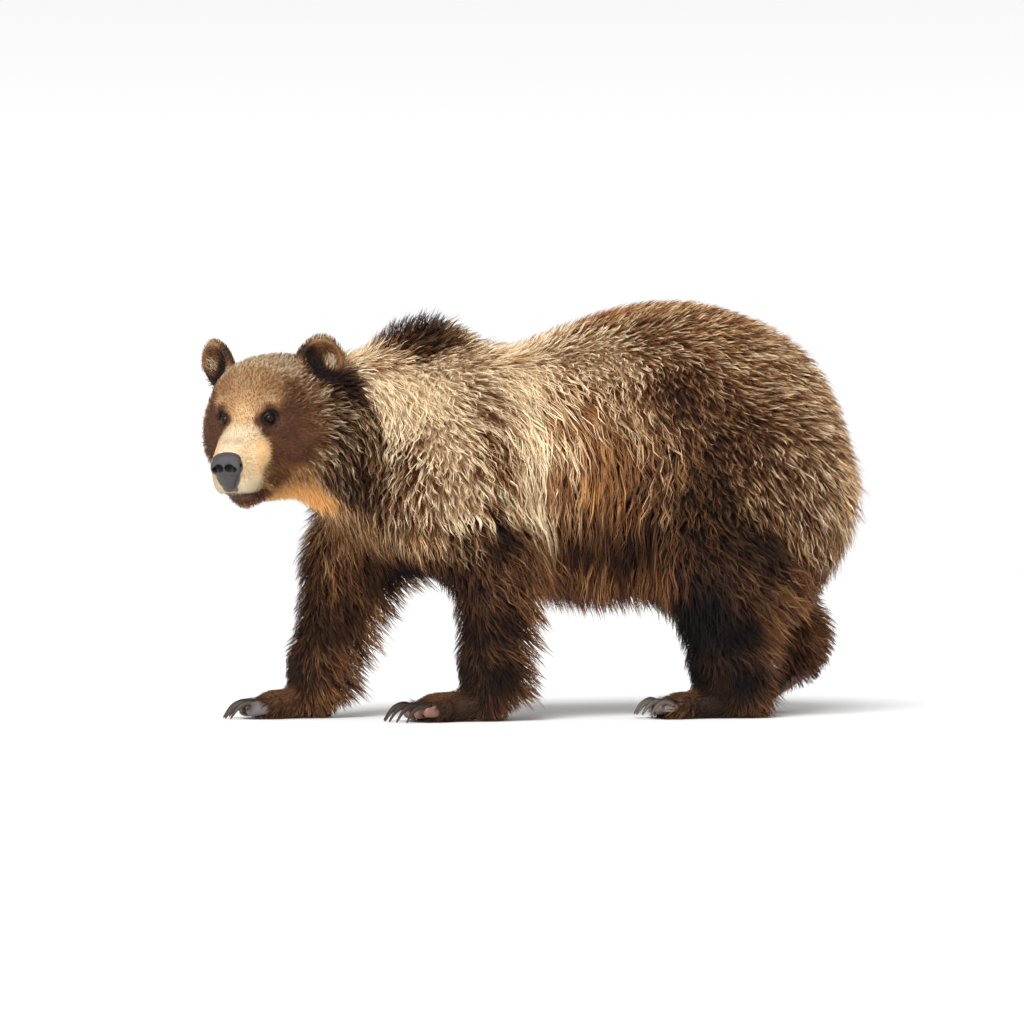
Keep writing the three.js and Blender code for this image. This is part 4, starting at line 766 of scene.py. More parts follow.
def addNode(tree, kind, inputs=None, **settings):
    node = tree.nodes.new(kind)
    for key, value in settings.items():
        setattr(node, key, value)
    feed(tree, node, inputs or {})
    return node.outputs


def rgb(text):
    parts = [int(text[i : i + 2], 16) / 255 for i in (0, 2, 4)]
    return (*(v / 12.92 if v < 0.04045 else ((v + 0.055) / 1.055) ** 2.4 for v in parts), 1)


def mixed(tree, share, a, b, kind="MIX"):
    return addNode(tree, "ShaderNodeMix", {0: share, 6: a, 7: b}, data_type="RGBA", blend_type=kind)[2]


def ranged(tree, value, low, high, toLow, toHigh):
    inputs = {"Value": value, "From Min": low, "From Max": high, "To Min": toLow, "To Max": toHigh}
    return addNode(tree, "ShaderNodeMapRange", inputs)[0]


def combined(tree, kind, a, b, clamp=False):
    return addNode(tree, "ShaderNodeMath", {0: a, 1: b}, operation=kind, use_clamp=clamp)[0]


def attributeOf(tree, name):
    return addNode(tree, "ShaderNodeAttribute", attribute_name=name)


def separated(tree, colour):
    return addNode(tree, "ShaderNodeSeparateColor", {0: colour})


def bumped(tree, height, strength, distance):
    return addNode(tree, "ShaderNodeBump", {"Height": height, "Strength": strength, "Distance": distance})[0]


coatTones = {
    "Brown": "85502e",
    "Tan": "c48e57",
    "Blond": "ffe7bf",
    "Rust": "935443",
    "Chocolate": "120908",
    # RootShade is painted shade: the tone that hair is darkened towards at its root, for the shade deep in
    # the coat.
    "RootShade": "8a5636",
}
orange = (1, 0.51, 0.14, 1)
white = (1, 1, 1, 1)
skinTones = {"skin": "2c1d18", "grey": "474345", "lid": "140d0b", "toe": "7c594c", "greyToe": "686264"}
# Rows of four are a range that is read, and the range that it becomes.
coatShading = {
    "lockOnDark": 2.8,
    "palest": 1.1,
    "lockOnPale": (0, 0.3, -0.1, -0.9),
    "paleTips": (0.45, 1, 0, 0.75),
    "blond": (0.5, 0.95, 0, 1),
    "orange": (0.35, 1, 0, 0.85),
    "light": (0, 0.7, 0, 1),
    # How far along a hair the painted root shade reaches, and how much less of it pale hair gets.
    "root": (0, 0.55, 0, 1),
    "paleRootShade": 0.8,
    "hairs": (0, 1, 0.78, 1.16),
    "fibres": (0.3, 0.7, 0.8, 1.2),
    "fibreScales": {"Across": 2.4, "Along": 1.6, "Grain": 60.0},
}


# Turns the markings, and a hair's root, tip and grain, into its colour. Towards the root it paints shade, and
# the Shade input scales the colour by painted shade and painted light.
def makeCoatColour():
    look = coatShading
    group = bpy.data.node_groups.new("coatColour", "ShaderNodeTree")
    for name in ("Pale", "Dark", "Rufous", "Shade", "Along", "Grain", "Lock", "Across"):
        group.interface.new_socket(name=name, in_out="INPUT", socket_type="NodeSocketFloat")
    for name in coatTones:
        group.interface.new_socket(name=name, in_out="INPUT", socket_type="NodeSocketColor")
    group.interface.new_socket(name="Color", in_out="OUTPUT", socket_type="NodeSocketColor")
    start = addNode(group, "NodeGroupInput")

    def times(a, b):
        return combined(group, "MULTIPLY", a, b)

    def less(a, b):
        return combined(group, "SUBTRACT", a, b)

    # Locks differ most where the markings are neither pale nor dark.
    even = less(1.0, start["Dark"])
    lock = less(start["Lock"], 0.5)
    spread = times(times(start["Dark"], even), look["lockOnDark"])
    dark = combined(group, "ADD", start["Dark"], times(lock, spread), True)
    between = times(start["Pale"], less(look["palest"], start["Pale"]))
    vary = times(lock, ranged(group, between, *look["lockOnPale"]))
    pale = combined(group, "ADD", start["Pale"], vary, True)
    # Half dark hair keeps paler tips.
    tip = ranged(group, start["Along"], *look["paleTips"])
    dark = times(dark, less(1.0, times(tip, even)))
    warm = mixed(group, start["Rufous"], start["Brown"], start["Rust"])
    light = mixed(group, ranged(group, pale, *look["blond"]), start["Tan"], start["Blond"])
    light = mixed(group, ranged(group, start["Rufous"], *look["orange"]), light, orange)
    warm = mixed(group, ranged(group, pale, *look["light"]), warm, light)
    colour = mixed(group, dark, warm, start["Chocolate"])
    # Painted shade: the colour is darkened towards the root, less on pale hair, for the shade deep in the
    # coat.
    root = mixed(group, times(pale, look["paleRootShade"]), start["RootShade"], white)
    rootShadeTint = mixed(group, ranged(group, start["Along"], *look["root"]), root, white)
    colour = mixed(group, 1.0, colour, rootShadeTint, "MULTIPLY")
    scaled = [times(start[name], by) for name, by in look["fibreScales"].items()]
    spot = addNode(group, "ShaderNodeCombineXYZ", dict(enumerate(scaled)))
    fibre = addNode(group, "ShaderNodeTexNoise", {"Vector": spot[0], "Scale": 1.0, "Detail": 2.0})[0]
    grain = ranged(group, start["Grain"], *look["hairs"])
    shade = times(times(grain, ranged(group, fibre, *look["fibres"])), start["Shade"])
    grained = addNode(group, "ShaderNodeVectorMath", {0: colour, "Scale": shade}, operation="SCALE")
    addNode(group, "NodeGroupOutput", {"Color": grained[0]})
    return group


coatColour = makeCoatColour()


def addCoatColour(tree):
    marks, strand = attributeOf(tree, "markings"), attributeOf(tree, "strand")
    inputs = {name: rgb(tone) for name, tone in coatTones.items()}
    inputs.update(zip(("Pale", "Dark", "Rufous"), separated(tree, marks["Color"])))
    inputs.update(zip(("Along", "Grain", "Lock"), separated(tree, strand["Color"])))
    inputs.update({"Shade": marks["Alpha"], "Across": strand["Alpha"]})
    return addNode(tree, "ShaderNodeGroup", inputs, node_tree=coatColour)[0]


coatLook = {"Roughness": 0.6, "Specular IOR Level": 0.22}
skinLook = {"roughness": (0.8, 0.45), "specular": 0.3, "grain": 420.0, "bump": (0.5, 0.001)}


def makeCoatMaterial():
    material, tree, shader = nodesOf("coat")
    feed(tree, shader, {"Base Color": addCoatColour(tree), **coatLook})
    return material


def makeSkinMaterial():
    material, tree, shader = nodesOf("shortFurAndSkin")
    tones = {name: rgb(tone) for name, tone in skinTones.items()}
    bare = attributeOf(tree, "bare")
    share, grey, lid = separated(tree, bare["Color"])
    tone = mixed(tree, lid, mixed(tree, grey, tones["skin"], tones["grey"]), tones["lid"])
    tone = mixed(tree, bare["Alpha"], tone, mixed(tree, grey, tones["toe"], tones["greyToe"]))
    noise = addNode(tree, "ShaderNodeTexNoise", {"Scale": skinLook["grain"], "Detail": 3.0})
    look = {
        "Base Color": mixed(tree, share, addCoatColour(tree), tone),
        "Roughness": ranged(tree, share, 0, 1, *skinLook["roughness"]),
        "Specular IOR Level": skinLook["specular"],
        "Normal": bumped(tree, noise[0], *skinLook["bump"]),
    }
    feed(tree, shader, look)
    return material


skinMaterial = makeSkinMaterial()
coatMaterial = makeCoatMaterial()


# How far along a hair the colour of short hair starts. Long hair, and the skin under it, start near the root,
# where the painted root shade is darkest.
shortStart = {"first": 1.1, "over": 26, "least": 0.1, "most": 0.8}


def shortShareOf(length):
    share = shortStart["first"] - length / shortStart["over"]
    return np.clip(share, shortStart["least"], shortStart["most"])


skinMesh = {"low": (-850, -390, -20), "high": (940, 380, 1040), "cell": 11.0}
lowestSkin = 1.0
# Boxes in the head's own axes, folded to one side, that get smaller faces, and then boxes about the feet.
fineHead = {"low": (-110, -1, -210), "high": (300, 190, 210)}
fineFace = {"low": (55, -1, -150), "high": (300, 95, 100)}
fineEars = {"low": (-110, 42, 66), "high": (300, 182, 300)}
fineFeet = {"below": 95, "toesAhead": 35, "toesHalfSize": (62, 95), "toesBelow": 70}
fineEdges = {"eye": 11, "mouth": 7, "mouthFrom": 95, "mouthHalfWidth": 75}


def inBox(p, low, high):
    return ((p > low) & (p < high)).all(1)


def inHeadOrFeet(p):
    return inBox(folded(toHead(p)), **fineHead) | (p[:, 2] < fineFeet["below"])


def inFace(p):
    q = folded(toHead(p))
    toes = np.zeros(len(p), bool)
    for leg in legs.values():
        x, y, _ = leg["foot"]["ball"]
        off = np.abs(p[:, :2] - (x - fineFeet["toesAhead"], y * leg["side"]))
        toes |= (off < fineFeet["toesHalfSize"]).all(1) & (p[:, 2] < fineFeet["toesBelow"])
    return inBox(q, **fineFace) | inBox(q, **fineEars) | toes


def nearEyesAndMouth(p):
    q = toHead(p)
    eyes = paired(ellipsoid(eye["at"], (eye["lid"],) * 3))(q) < fineEdges["eye"]
    front = (q[:, 0] > fineEdges["mouthFrom"]) & (np.abs(q[:, 1]) < fineEdges["mouthHalfWidth"])
    return eyes | ((mouthSlit(q) < fineEdges["mouth"]) & front)


print("skin")
points, faces = surfaceOf(bear, **skinMesh)
for chosen in (inHeadOrFeet, inFace, nearEyesAndMouth):
    points, faces = fineFaces(points, faces, chosen)
    points = settled(bear, points, np.zeros(len(points)), 2)
points = settled(bear, points, -traitsAt(points)["depth"], 3)
points[:, 2] = np.maximum(points[:, 2], lowestSkin)
skinTraits = traitsAt(points)
skinBare = bareAt(points)
skin = addMesh("skin", points, faces, skinMaterial)
shortShare = shortShareOf(skinTraits["length"])
# The fourth channel of markings holds the painted shade and painted light of short hair.
setColours(skin.data, "markings", np.stack([skinTraits[name] for name in markAndShadeNames], 1))
# The skin takes the start of its hair, so under long hair it gets the painted root shade.
setColours(skin.data, "strand", np.stack([shortShare, *[np.full(len(points), 0.5)] * 3], 1))
setColours(skin.data, "bare", skinBare)
flesh = [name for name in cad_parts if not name.startswith(("claw", "eye", "nose"))]
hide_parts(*flesh)
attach(skin, "root")
print("skin has", len(faces), "faces")

# The coat: each tuft is a closed, tapering blade with three sides, which leans to its lock's guide.
# In a pair the first number is the least and the second is added with length, waves or chance. A third is
# the most.
coat = {
    "triangles": 1450000,
    "spacing": (2.0, 0.034, 5.2),
    "width": (0.8, 0.019, 2.7),
    "widthVaries": (0.75, 0.5),
    "thickness": 0.4,
    "longFrom": 58,
    "stations": (0.0, 0.3, 0.65, 1.0),
    "longBlade": ((0, 1, 2, 3), (0.85, 1.0, 0.7)),
    "shortBlade": ((0, 2, 3), (1.0, 0.8)),
    "lockSize": ((4, 0.055), (0.8, 0.7)),
    "clumping": 0.84,
    "apart": 0.1,
    "lengthVaries": ((0.78, 0.44), (0.82, 0.26), (0.85, 0.15)),  # by lock, by hair, and inwards in the lock
    "liftVaries": ((0.4, 0.95), (0.75, 0.3), (0.8, 0.35)),
    "patch": 0.003,  # how much of the unwrap each tuft takes
}


def cornersOf(mesh):
    mesh.calc_loop_triangles()
    corners = np.zeros(len(mesh.loop_triangles) * 3, np.int32)
    mesh.loop_triangles.foreach_get("vertices", corners)
    return corners.reshape(-1, 3)


# The first number of a rule, and the second for each of value.
def linear(rule, value):
    return rule[0] + rule[1] * value


def grownWith(length, rule):
    return np.minimum(linear(rule, length), rule[2])


# The faces of a blade with so many rings of three corners, and a tip.
def bladePattern(rings):
    faces = [(0, 2, 1)]
    for ring in range(rings - 1):
        for i in range(3):
            p, q = 3 * ring + i, 3 * ring + (i + 1) % 3
            faces += [(p, q, q + 3), (p, q + 3, p + 3)]
    last = 3 * (rings - 1)
    faces += [(last, last + 1, last + 3), (last + 1, last + 2, last + 3), (last + 2, last, last + 3)]
    return np.array(faces)


corners = cornersOf(skin.data)
a, b, c = (points[corners[:, i]] for i in range(3))
areas = np.linalg.norm(np.cross(b - a, c - a), axis=1) / 2
lengths = skinTraits["length"][corners].mean(1)
bare = skinBare[:, 0][corners].mean(1)
weights = areas / grownWith(lengths, coat["spacing"]) ** 2 * (bare < 0.5)
triangleCost = np.where(lengths > coat["longFrom"], len(bladePattern(3)), len(bladePattern(2)))
weights *= coat["triangles"] / (weights * triangleCost).sum()
upTo = np.cumsum(weights)
count = int(upTo[-1])
levels = (np.arange(count) + dice.random(count)) / count * upTo[-1]
picks = np.searchsorted(upTo, levels).clip(0, len(upTo) - 1)
u = np.sqrt(dice.random(count))[:, None]
v = dice.random(count)[:, None]
shares = np.hstack([1 - u, u * (1 - v), u * v])
roots = np.einsum("nk,nkd->nd", shares, points[corners[picks]])
print("coat has", count, "tufts on", round(areas.sum() / 1e6, 2), "square metres")


def ofRoots(values):
    return np.einsum("nk,nk...->n...", shares, values[corners[picks]])


traits = (ofRoots(skinTraits[name]) for name in ("length", "lift", "wave", "hang", "depth"))
length, lift, wave, hang, depth = traits
lie = unit(ofRoots(skinTraits["lie"]))
marks = np.stack([ofRoots(skinTraits[name]) for name in markAndShadeNames], 1)

# Guides of the locks, and the guide that each tuft follows.
lockSize = linear(coat["lockSize"][0], length) * linear(coat["lockSize"][1], wave)
isGuide = dice.random(count) < 1 / (weights[picks] / areas[picks] * lockSize**2).clip(1)
guides = np.flatnonzero(isGuide)
tree = KDTree(len(guides))
for i, root in enumerate(roots[guides]):
    tree.insert(root, i)
tree.balance()
found = [tree.find(root)[1:] for root in roots]
guideOf = guides[np.array([i for i, _ in found])]
middle = np.clip(1 - (np.array([far for _, far in found]) / lockSize) ** 2, 0, 1)
print("coat has", len(guides), "locks")

lockDice = dice.random((count, 6))[guideOf]
ownDice = dice.random((count, 5))


# Varies smoothly from place to place, about every span, mostly from -1 to 1.
def drifting(p, span, waves=7, spans=(0.7, 1.7), most=1.2):
    ways = unit(dice.normal(size=(waves, 3))) * 2 * math.pi / (span * dice.uniform(*spans, (waves, 1)))
    return (np.sin(p @ ways.T + dice.random(waves) * 7).sum(1) / waves**0.5).clip(-most, most)


def varied(value, rules, column):
    for rule, by in zip(rules, (lockDice[:, column], ownDice[:, column], middle)):
        value = value * linear(rule, by)
    return value


# Long hair that hangs forms upright streaks, which neighbouring locks share.
streaks = {
    "waves": ((0.55, 10), (0.45, 15), (0.35, 26)),  # how strong, and how wide
    "bends": ((9, 150), (3, 60)),
    "contrast": (0.5, 0.55),
    "steep": (0.7, 0.25),
    "long": (60, 45),
    "straight": (1.6, -2),
    "share": 0.8,
    "lift": (-0.4, 0.8),
    "edge": (0.55, -0.9),  # elsewhere the edge of a lock is painted darker than its middle, as painted shade between locks
    "edgeShadeOver": 60,
    "calm": (0.4, 0.6),  # short hair varies less
    "calmOver": 50,
    "flow": (170, 110),
}
heart = roots[guideOf] + lie[guideOf] * length[guideOf, None] * 0.5
across = heart[:, 0]
for by, span in streaks["bends"]:
    across = across + by * drifting(heart, span)
streak = sum(by * np.sin(across * 2 * math.pi / span) for by, span in streaks["waves"])
streak = smooth(linear(streaks["contrast"], streak))
streaky = smooth((-lie[:, 2] - streaks["steep"][0]) / streaks["steep"][1])
streaky = streaky * smooth((length - streaks["long"][0]) / streaks["long"][1])
streaky = streaky * smooth(linear(streaks["straight"], wave))
lockDice[:, 5] += streaks["share"] * streaky * (1 - streak - lockDice[:, 5])
# Painted shade: away from the streaks, the edges of locks are darker than their middles.
lockDice[:, 5] += (1 - streaky) * linear(streaks["edge"], middle) * smooth(length / streaks["edgeShadeOver"])
calm = linear(streaks["calm"], smooth(length / streaks["calmOver"]))
lockDice[:, 5] = 0.5 + (lockDice[:, 5] - 0.5) * calm
flow = np.stack([drifting(heart, span) for span in streaks["flow"]], 1)
length = varied(length, coat["lengthVaries"], 0)
lift = varied(lift, coat["liftVaries"], 1)
lift = lift * (1 + streaky * linear(streaks["lift"], streak))

# How the hairs wind: pairs are for straight hair, and more with its waves or its lock.
combing = {
    "below": 2,
    "drift": (0.06, 0.3),
    "sway": (0.08, 0.7),
    "turns": (1.1, 0.7),
    "start": 0.45,
    "flow": 0.5,
    "swing": (0.12, 0.66),
    "stray": 0.14,
    "rise": 0.75,
    "gather": 1.1,
    "lowest": (1.5, 1.2),
}


def comb(p, lie, traits, flow, lockDice, ownDice):
    length, depth, lift, wave, hang = traits.T[:, :, None]
    p = settle(bear, p, -depth[:, 0] - combing["below"], 1)
    normal = unit(slopeOf(bear, p))
    sway = flow[:, :1] * linear(combing["drift"], wave)
    sway = sway + (lockDice[:, 4:5] - 0.5) * linear(combing["sway"], wave)
    lie = unit(lie + np.cross(normal, lie) * sway)
    path, ups = [p], [normal]
    for before, share in zip(coat["stations"], coat["stations"][1:]):
        rise = (lie * normal).sum(1)[:, None]
        way = unit(lie - np.where(rise > 0, rise * (1 - hang), rise) * normal)
        turn = share * linear(combing["turns"], lockDice[:, 2:3]) + combing["start"] * lockDice[:, 3:4]
        turn = turn + combing["flow"] * flow[:, 1:]
        stray = (ownDice[:, 2:3] - 0.5) * combing["stray"]
        swing = np.sin(2 * np.pi * turn) * linear(combing["swing"], wave) + stray
        moved = p + (share - before) * length * unit(way + np.cross(normal, way) * swing)
        height = (-depth + (depth + lift) * share ** combing["rise"])[:, 0]
        p = settle(bear, moved, height, 1)
        p = p + hang * (bear(moved) > height)[:, None] * (moved - p)
        p[:, 2] = np.maximum(p[:, 2], combing["lowest"][0])
        normal = unit(slopeOf(bear, p))
        path.append(p)
        ups.append(normal)
    return np.stack(path, 1), np.stack(ups, 1)


path, ups = inParts(comb, roots, lie, np.stack([length, depth, lift, wave, hang], 1), flow, lockDice, ownDice)
apart = (roots - roots[guideOf])[:, None, :]
pull = coat["clumping"] * np.array(coat["stations"])[None, :, None] ** combing["gather"]
path = path + (path[guideOf] - path + apart * coat["apart"]) * pull
path[:, :, 2] = np.maximum(path[:, :, 2], combing["lowest"][1])
print("coat is combed")


# The corners of the chosen tufts, their faces, and for each corner the strand, the markings and the tuft.
def blades(chosen, kept, widths):
    spine, up = path[chosen][:, kept], ups[chosen][:, kept]
    forward = unit(np.gradient(spine, axis=1))
    side = unit(np.cross(up, forward))
    lifted = np.cross(forward, side)
    half = grownWith(length[chosen], coat["width"]) * linear(coat["widthVaries"], ownDice[chosen, 3]) / 2
    rows = []
    for ring, width in enumerate(widths):
        w = (half * width)[:, None]
        p, s, t = spine[:, ring], side[:, ring], lifted[:, ring]
        rows += [p - w * s, p + w * s, p + w * coat["thickness"] * 2 * t]
    rows.append(spine[:, -1])
    verts = np.stack(rows, 1)
    n, perTuft = verts.shape[:2]
    faces = bladePattern(len(widths))[None] + np.arange(n)[:, None, None] * perTuft
    strand = np.zeros((n, perTuft, 4))
    start = shortShareOf(length[chosen])[:, None]
    strand[:, :, 0] = start + (1 - start) * np.repeat(np.array(coat["stations"])[list(kept)], 3)[:perTuft]
    strand[:, :, 1] = ownDice[chosen, 4][:, None]
    strand[:, :, 2] = lockDice[chosen, 5][:, None]
    strand[:, :, 3] = np.array((0, 1, 0.5) * 4)[:perTuft]
    tufts = np.repeat(chosen, perTuft)
    return verts.reshape(-1, 3), faces.reshape(-1, 3), strand.reshape(-1, 4), marks[tufts], tufts


# An unwrap of the part of the skin that a coat piece grows from, as u and v at each corner of its triangles.
def unwrapOf(triangles):
    used, local = np.unique(corners[triangles], return_inverse=True)
    piece = addTriangles("unwrap", points[used], local.reshape(-1, 3), skinMaterial)
    mesh = piece.data
    mesh.uv_layers.new(name="plan")
    bpy.ops.object.select_all(action="DESELECT")
    piece.select_set(True)
    bpy.context.view_layer.objects.active = piece
    bpy.ops.object.mode_set(mode="EDIT")
    bpy.ops.mesh.select_all(action="SELECT")
    bpy.ops.uv.smart_project(angle_limit=math.radians(66), island_margin=0.004)
    bpy.ops.object.mode_set(mode="OBJECT")
    plan = np.zeros(len(triangles) * 6)
    mesh.uv_layers["plan"].data.foreach_get("uv", plan)
    bpy.data.objects.remove(piece)
    bpy.data.meshes.remove(mesh)
    return plan.reshape(-1, 3, 2)


# Where one coat piece ends and the next begins: legs below a height, then the head, then the trunk along x.
coatPieces = {
    "legs": {"below": 420, "outFrom": 30, "ahead": 260, "behind": 150},
    "head": {"low": (-105, -190, -215), "high": (320, 190, 215)},
    "faceFrom": 60,
    "trunk": ("front", "flank", "loin", "rump"),
    "trunkEnds": (-120, 130, 420),
}


def pieceNames():
    x, y, z = roots.T
    q = toHead(roots)
    names = np.full(count, "", dtype=object)
    onLegs = coatPieces["legs"]
    for name, leg in legs.items():
        xs = [joint[0] for joint in leg["joints"]]
        near = (z < onLegs["below"]) & (y * leg["side"] > onLegs["outFrom"])
        near &= (x > min(xs) - onLegs["ahead"]) & (x < max(xs) + onLegs["behind"])
        names[near & (names == "")] = f"coat_{name}"
    parts = np.array(coatPieces["trunk"])[np.searchsorted(coatPieces["trunkEnds"], x, side="right")]
    onTrunk = np.array([f"coat_{part}_{'left' if left else 'right'}" for part, left in zip(parts, y < 0)])
    names = np.where(names == "", onTrunk, names)
    inHead = inBox(q, **coatPieces["head"])
    names[inHead] = np.where(q[inHead, 1] > 0, "coat_head_left", "coat_head_right")
    names[inHead & (q[:, 0] > coatPieces["faceFrom"])] = "coat_face"
    return names


partOf = pieceNames()
long = lengths[picks] > coat["longFrom"]
total = 0
for name in sorted(set(partOf)):
    chosen = np.flatnonzero(partOf == name)
    cells = [
        blades(chosen[long[chosen]], *coat["longBlade"]),
        blades(chosen[~long[chosen]], *coat["shortBlade"]),
    ]
    verts, faces, strand, markings, tufts = map(list, zip(*cells))
    faces[1] = faces[1] + len(verts[0])
    faces, strand, tufts = np.vstack(faces), np.vstack(strand), np.concatenate(tufts)
    piece = addTriangles(name, np.vstack(verts), faces, coatMaterial)
    setColours(piece.data, "strand", strand)
    setColours(piece.data, "markings", np.vstack(markings))
    triangles, place = np.unique(picks[chosen], return_inverse=True)
    rootPlan = np.zeros((count, 2))
    rootPlan[chosen] = np.einsum("nk,nkd->nd", shares[chosen], unwrapOf(triangles)[place])
    plan = rootPlan[tufts] + coat["patch"] * (strand[:, [3, 0]] - 0.5)
    layer = piece.data.uv_layers.new(name="OFBake")
    layer.data.foreach_set("uv", plan[faces.ravel()].astype(np.float32).ravel())
    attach(piece, "root")
    total += len(faces)
    print(name, len(faces))
print("coat triangles", total)

eyeTones = ((0.27, "050404"), (0.33, "321809"), (0.60, "1f0f08"), (0.68, "0c0706"), (1.0, "241a17"))
eyeLook = {"Roughness": 0.07, "Specular IOR Level": 0.2}
eyeball = {"inwards": 6, "cornea": 0.5, "bulge": 0.06, "around": 40, "along": 24}


def makeEyeMaterial():
    material, tree, shader = nodesOf("eyeGloss")
    tone = addNode(tree, "ShaderNodeValToRGB", {0: attributeOf(tree, "iris")["Fac"]})[0]
    stops = tone.node.color_ramp.elements
    for i, (at, text) in enumerate(eyeTones):
        stop = stops[i] if i < 2 else stops.new(at)
        stop.position, stop.color = at, rgb(text)
    feed(tree, shader, {"Base Color": tone, **eyeLook})
    return material


def makeEyeball(tag, side, material):
    work = bmesh.new()
    bmesh.ops.create_uvsphere(
        work, u_segments=eyeball["around"], v_segments=eyeball["along"], radius=eye["radius"]
    )
    bmesh.ops.rotate(work, verts=work.verts, matrix=Matrix.Rotation(math.pi / 2, 3, "Y"))
    turn = turned(yaw=(eye["yaw"] - eyeball["inwards"]) * side)
    iris = []
    for vert in work.verts:
        spread = math.acos(max(-1, min(1, vert.co.x / eye["radius"]))) / (math.pi / 2)
        iris.append(min(1, spread))
        bulge = 1 + eyeball["bulge"] * max(0, 1 - (spread / eyeball["cornea"]) ** 2)
        vert.co = toFrame(fromHead(turn @ (np.array(vert.co) * bulge) + mirrored(eye["at"], side)))
    mesh = bpy.data.meshes.new(f"eyeball_{tag}")
    work.to_mesh(mesh)
    work.free()
    setNumbers(mesh, "iris", iris)
    piece = addPiece(mesh, material)
    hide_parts(f"eye_{tag}")
    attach(piece, "root")


eyeMaterial = makeEyeMaterial()
makeEyeball("left", 1, eyeMaterial)
makeEyeball("right", -1, eyeMaterial)
print("eyes")

noseForm = {
    "body": {"at": (240, 0, -33), "size": (22, 29, 23)},
    "shelf": {"at": (240, 0, -20), "size": (19, 29, 12)},
    "wing": {"at": (246, 20, -37), "size": (15, 13, 14)},
    "lip": {"at": (240, 0, -54), "size": (15, 22, 17)},
    "lipTip": {"at": (238, 0, -68), "size": (14, 14, 17)},
    "hole": {"at": (267, 13.5, -36), "size": (17, 10.5, 9.5), "yaw": 24},
    "slit": {"root": (258, 19, -39), "tip": (240, 35, -31), "rootRadius": 5.2, "tipRadius": 2.6},
    "groove": {"root": (272, 0, -26), "tip": (254, 0, -74), "rootRadius": 1.8, "tipRadius": 1.8},
}
noseMesh = {"low": (205, -45, -90), "high": (285, 45, 0), "cell": 1.3}
noseBlend = {"parts": 8, "holes": 3, "groove": 2.5}
# deep is painted shade: the inside of the nostrils is painted near black.
noseTones = {"low": "2b2829", "high": "484345", "deep": "070505"}
noseLook = {"cells": 520.0, "mottle": 45.0, "roughness": (0.45, 1), "bump": (0.5, 0.0008), "deep": (0.9, 1.6)}
nostrilHole = paired(ellipsoid(**noseForm["hole"]))
nostrilSlit = paired(limb(**noseForm["slit"]))


def makeNoseShape():
    parts = {name: paired(ellipsoid(**noseForm[name])) for name in ("body", "shelf", "wing", "lip", "lipTip")}
    pad = blend(noseBlend["parts"], *parts.values())
    pad = carve(noseBlend["holes"], carve(noseBlend["holes"], pad, nostrilHole), nostrilSlit)
    return carve(noseBlend["groove"], pad, limb(**noseForm["groove"]))


def makeNoseMaterial():
    material, tree, shader = nodesOf("noseLeather")
    cells = addNode(tree, "ShaderNodeTexVoronoi", {"Scale": noseLook["cells"]})
    noise = addNode(tree, "ShaderNodeTexNoise", {"Scale": noseLook["mottle"], "Detail": 4.0})
    deep = attributeOf(tree, "deep")["Fac"]
    share = ranged(tree, noise[0], 0.3, 0.7, 0, 1)
    tone = mixed(tree, share, rgb(noseTones["low"]), rgb(noseTones["high"]))
    look = {
        "Base Color": mixed(tree, deep, tone, rgb(noseTones["deep"])),
        "Roughness": ranged(tree, deep, 0, 1, *noseLook["roughness"]),
        "Normal": bumped(tree, cells[0], *noseLook["bump"]),
    }
    feed(tree, shader, look)
    return material


noseShape = makeNoseShape()
nosePoints, noseFaces = surfaceOf(noseShape, **noseMesh)
nosePoints = settled(noseShape, nosePoints, np.zeros(len(nosePoints)), 1)
nose = addMesh("nosePad", fromHead(nosePoints), noseFaces, makeNoseMaterial())
# Painted shade, from 0 outside to 1 deep in the nostril holes and slits.
hollow = np.minimum(nostrilHole(nosePoints), nostrilSlit(nosePoints))
edge, soft = noseLook["deep"]
setNumbers(nose.data, "deep", smooth(edge - hollow / soft).astype(np.float32))
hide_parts("nose")
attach(nose, "root")
print("nose has", len(noseFaces), "faces")

clawForm = {
    "rings": 14,
    "sides": 12,
    "start": (-8, -7),
    "rise": (0.3, 1),
    "bend": (0.7, -9),
    "under": 0.75,  # the underside is flatter
    "lean": 0.35,
    "taper": (0.92, 0.2),
    "lowest": 0.8,
}
clawPaleness = {"fore_left": 0.0, "fore_right": 0.15, "hind_left": 0.45, "hind_right": 0.2}
clawTones = {"light": ("3a2a23", "7d756d"), "dark": ("0e0908", "2c2725")}  # for dark and for pale claws
clawLook = {
    "grain": 300.0,
    "ridge": (0, 1, 0.75, 0.05),
    "tip": (0.3, 1, 0, 0.3),
    "streaks": (0.3, 0.7, 0.75, 1.2),
    "roughness": 0.5,
    "specular": 0.3,
    "bump": (0.25, 0.0006),
}


def makeClawMaterial():
    material, tree, shader = nodesOf("clawHorn")
    along, ridge, pale = separated(tree, attributeOf(tree, "horn")["Color"])
    grain = addNode(tree, "ShaderNodeTexNoise", {"Scale": clawLook["grain"], "Detail": 4.0})[0]
    light, dark = (mixed(tree, pale, *map(rgb, clawTones[name])) for name in ("light", "dark"))
    underneath, towardsTip = ranged(tree, ridge, *clawLook["ridge"]), ranged(tree, along, *clawLook["tip"])
    share = combined(tree, "ADD", underneath, towardsTip, True)
    share = combined(tree, "MULTIPLY", share, ranged(tree, grain, *clawLook["streaks"]), True)
    look = {
        "Base Color": mixed(tree, share, dark, light),
        "Roughness": clawLook["roughness"],
        "Specular IOR Level": clawLook["specular"],
        "Normal": bumped(tree, grain, *clawLook["bump"]),
    }
    feed(tree, shader, look)
    return material


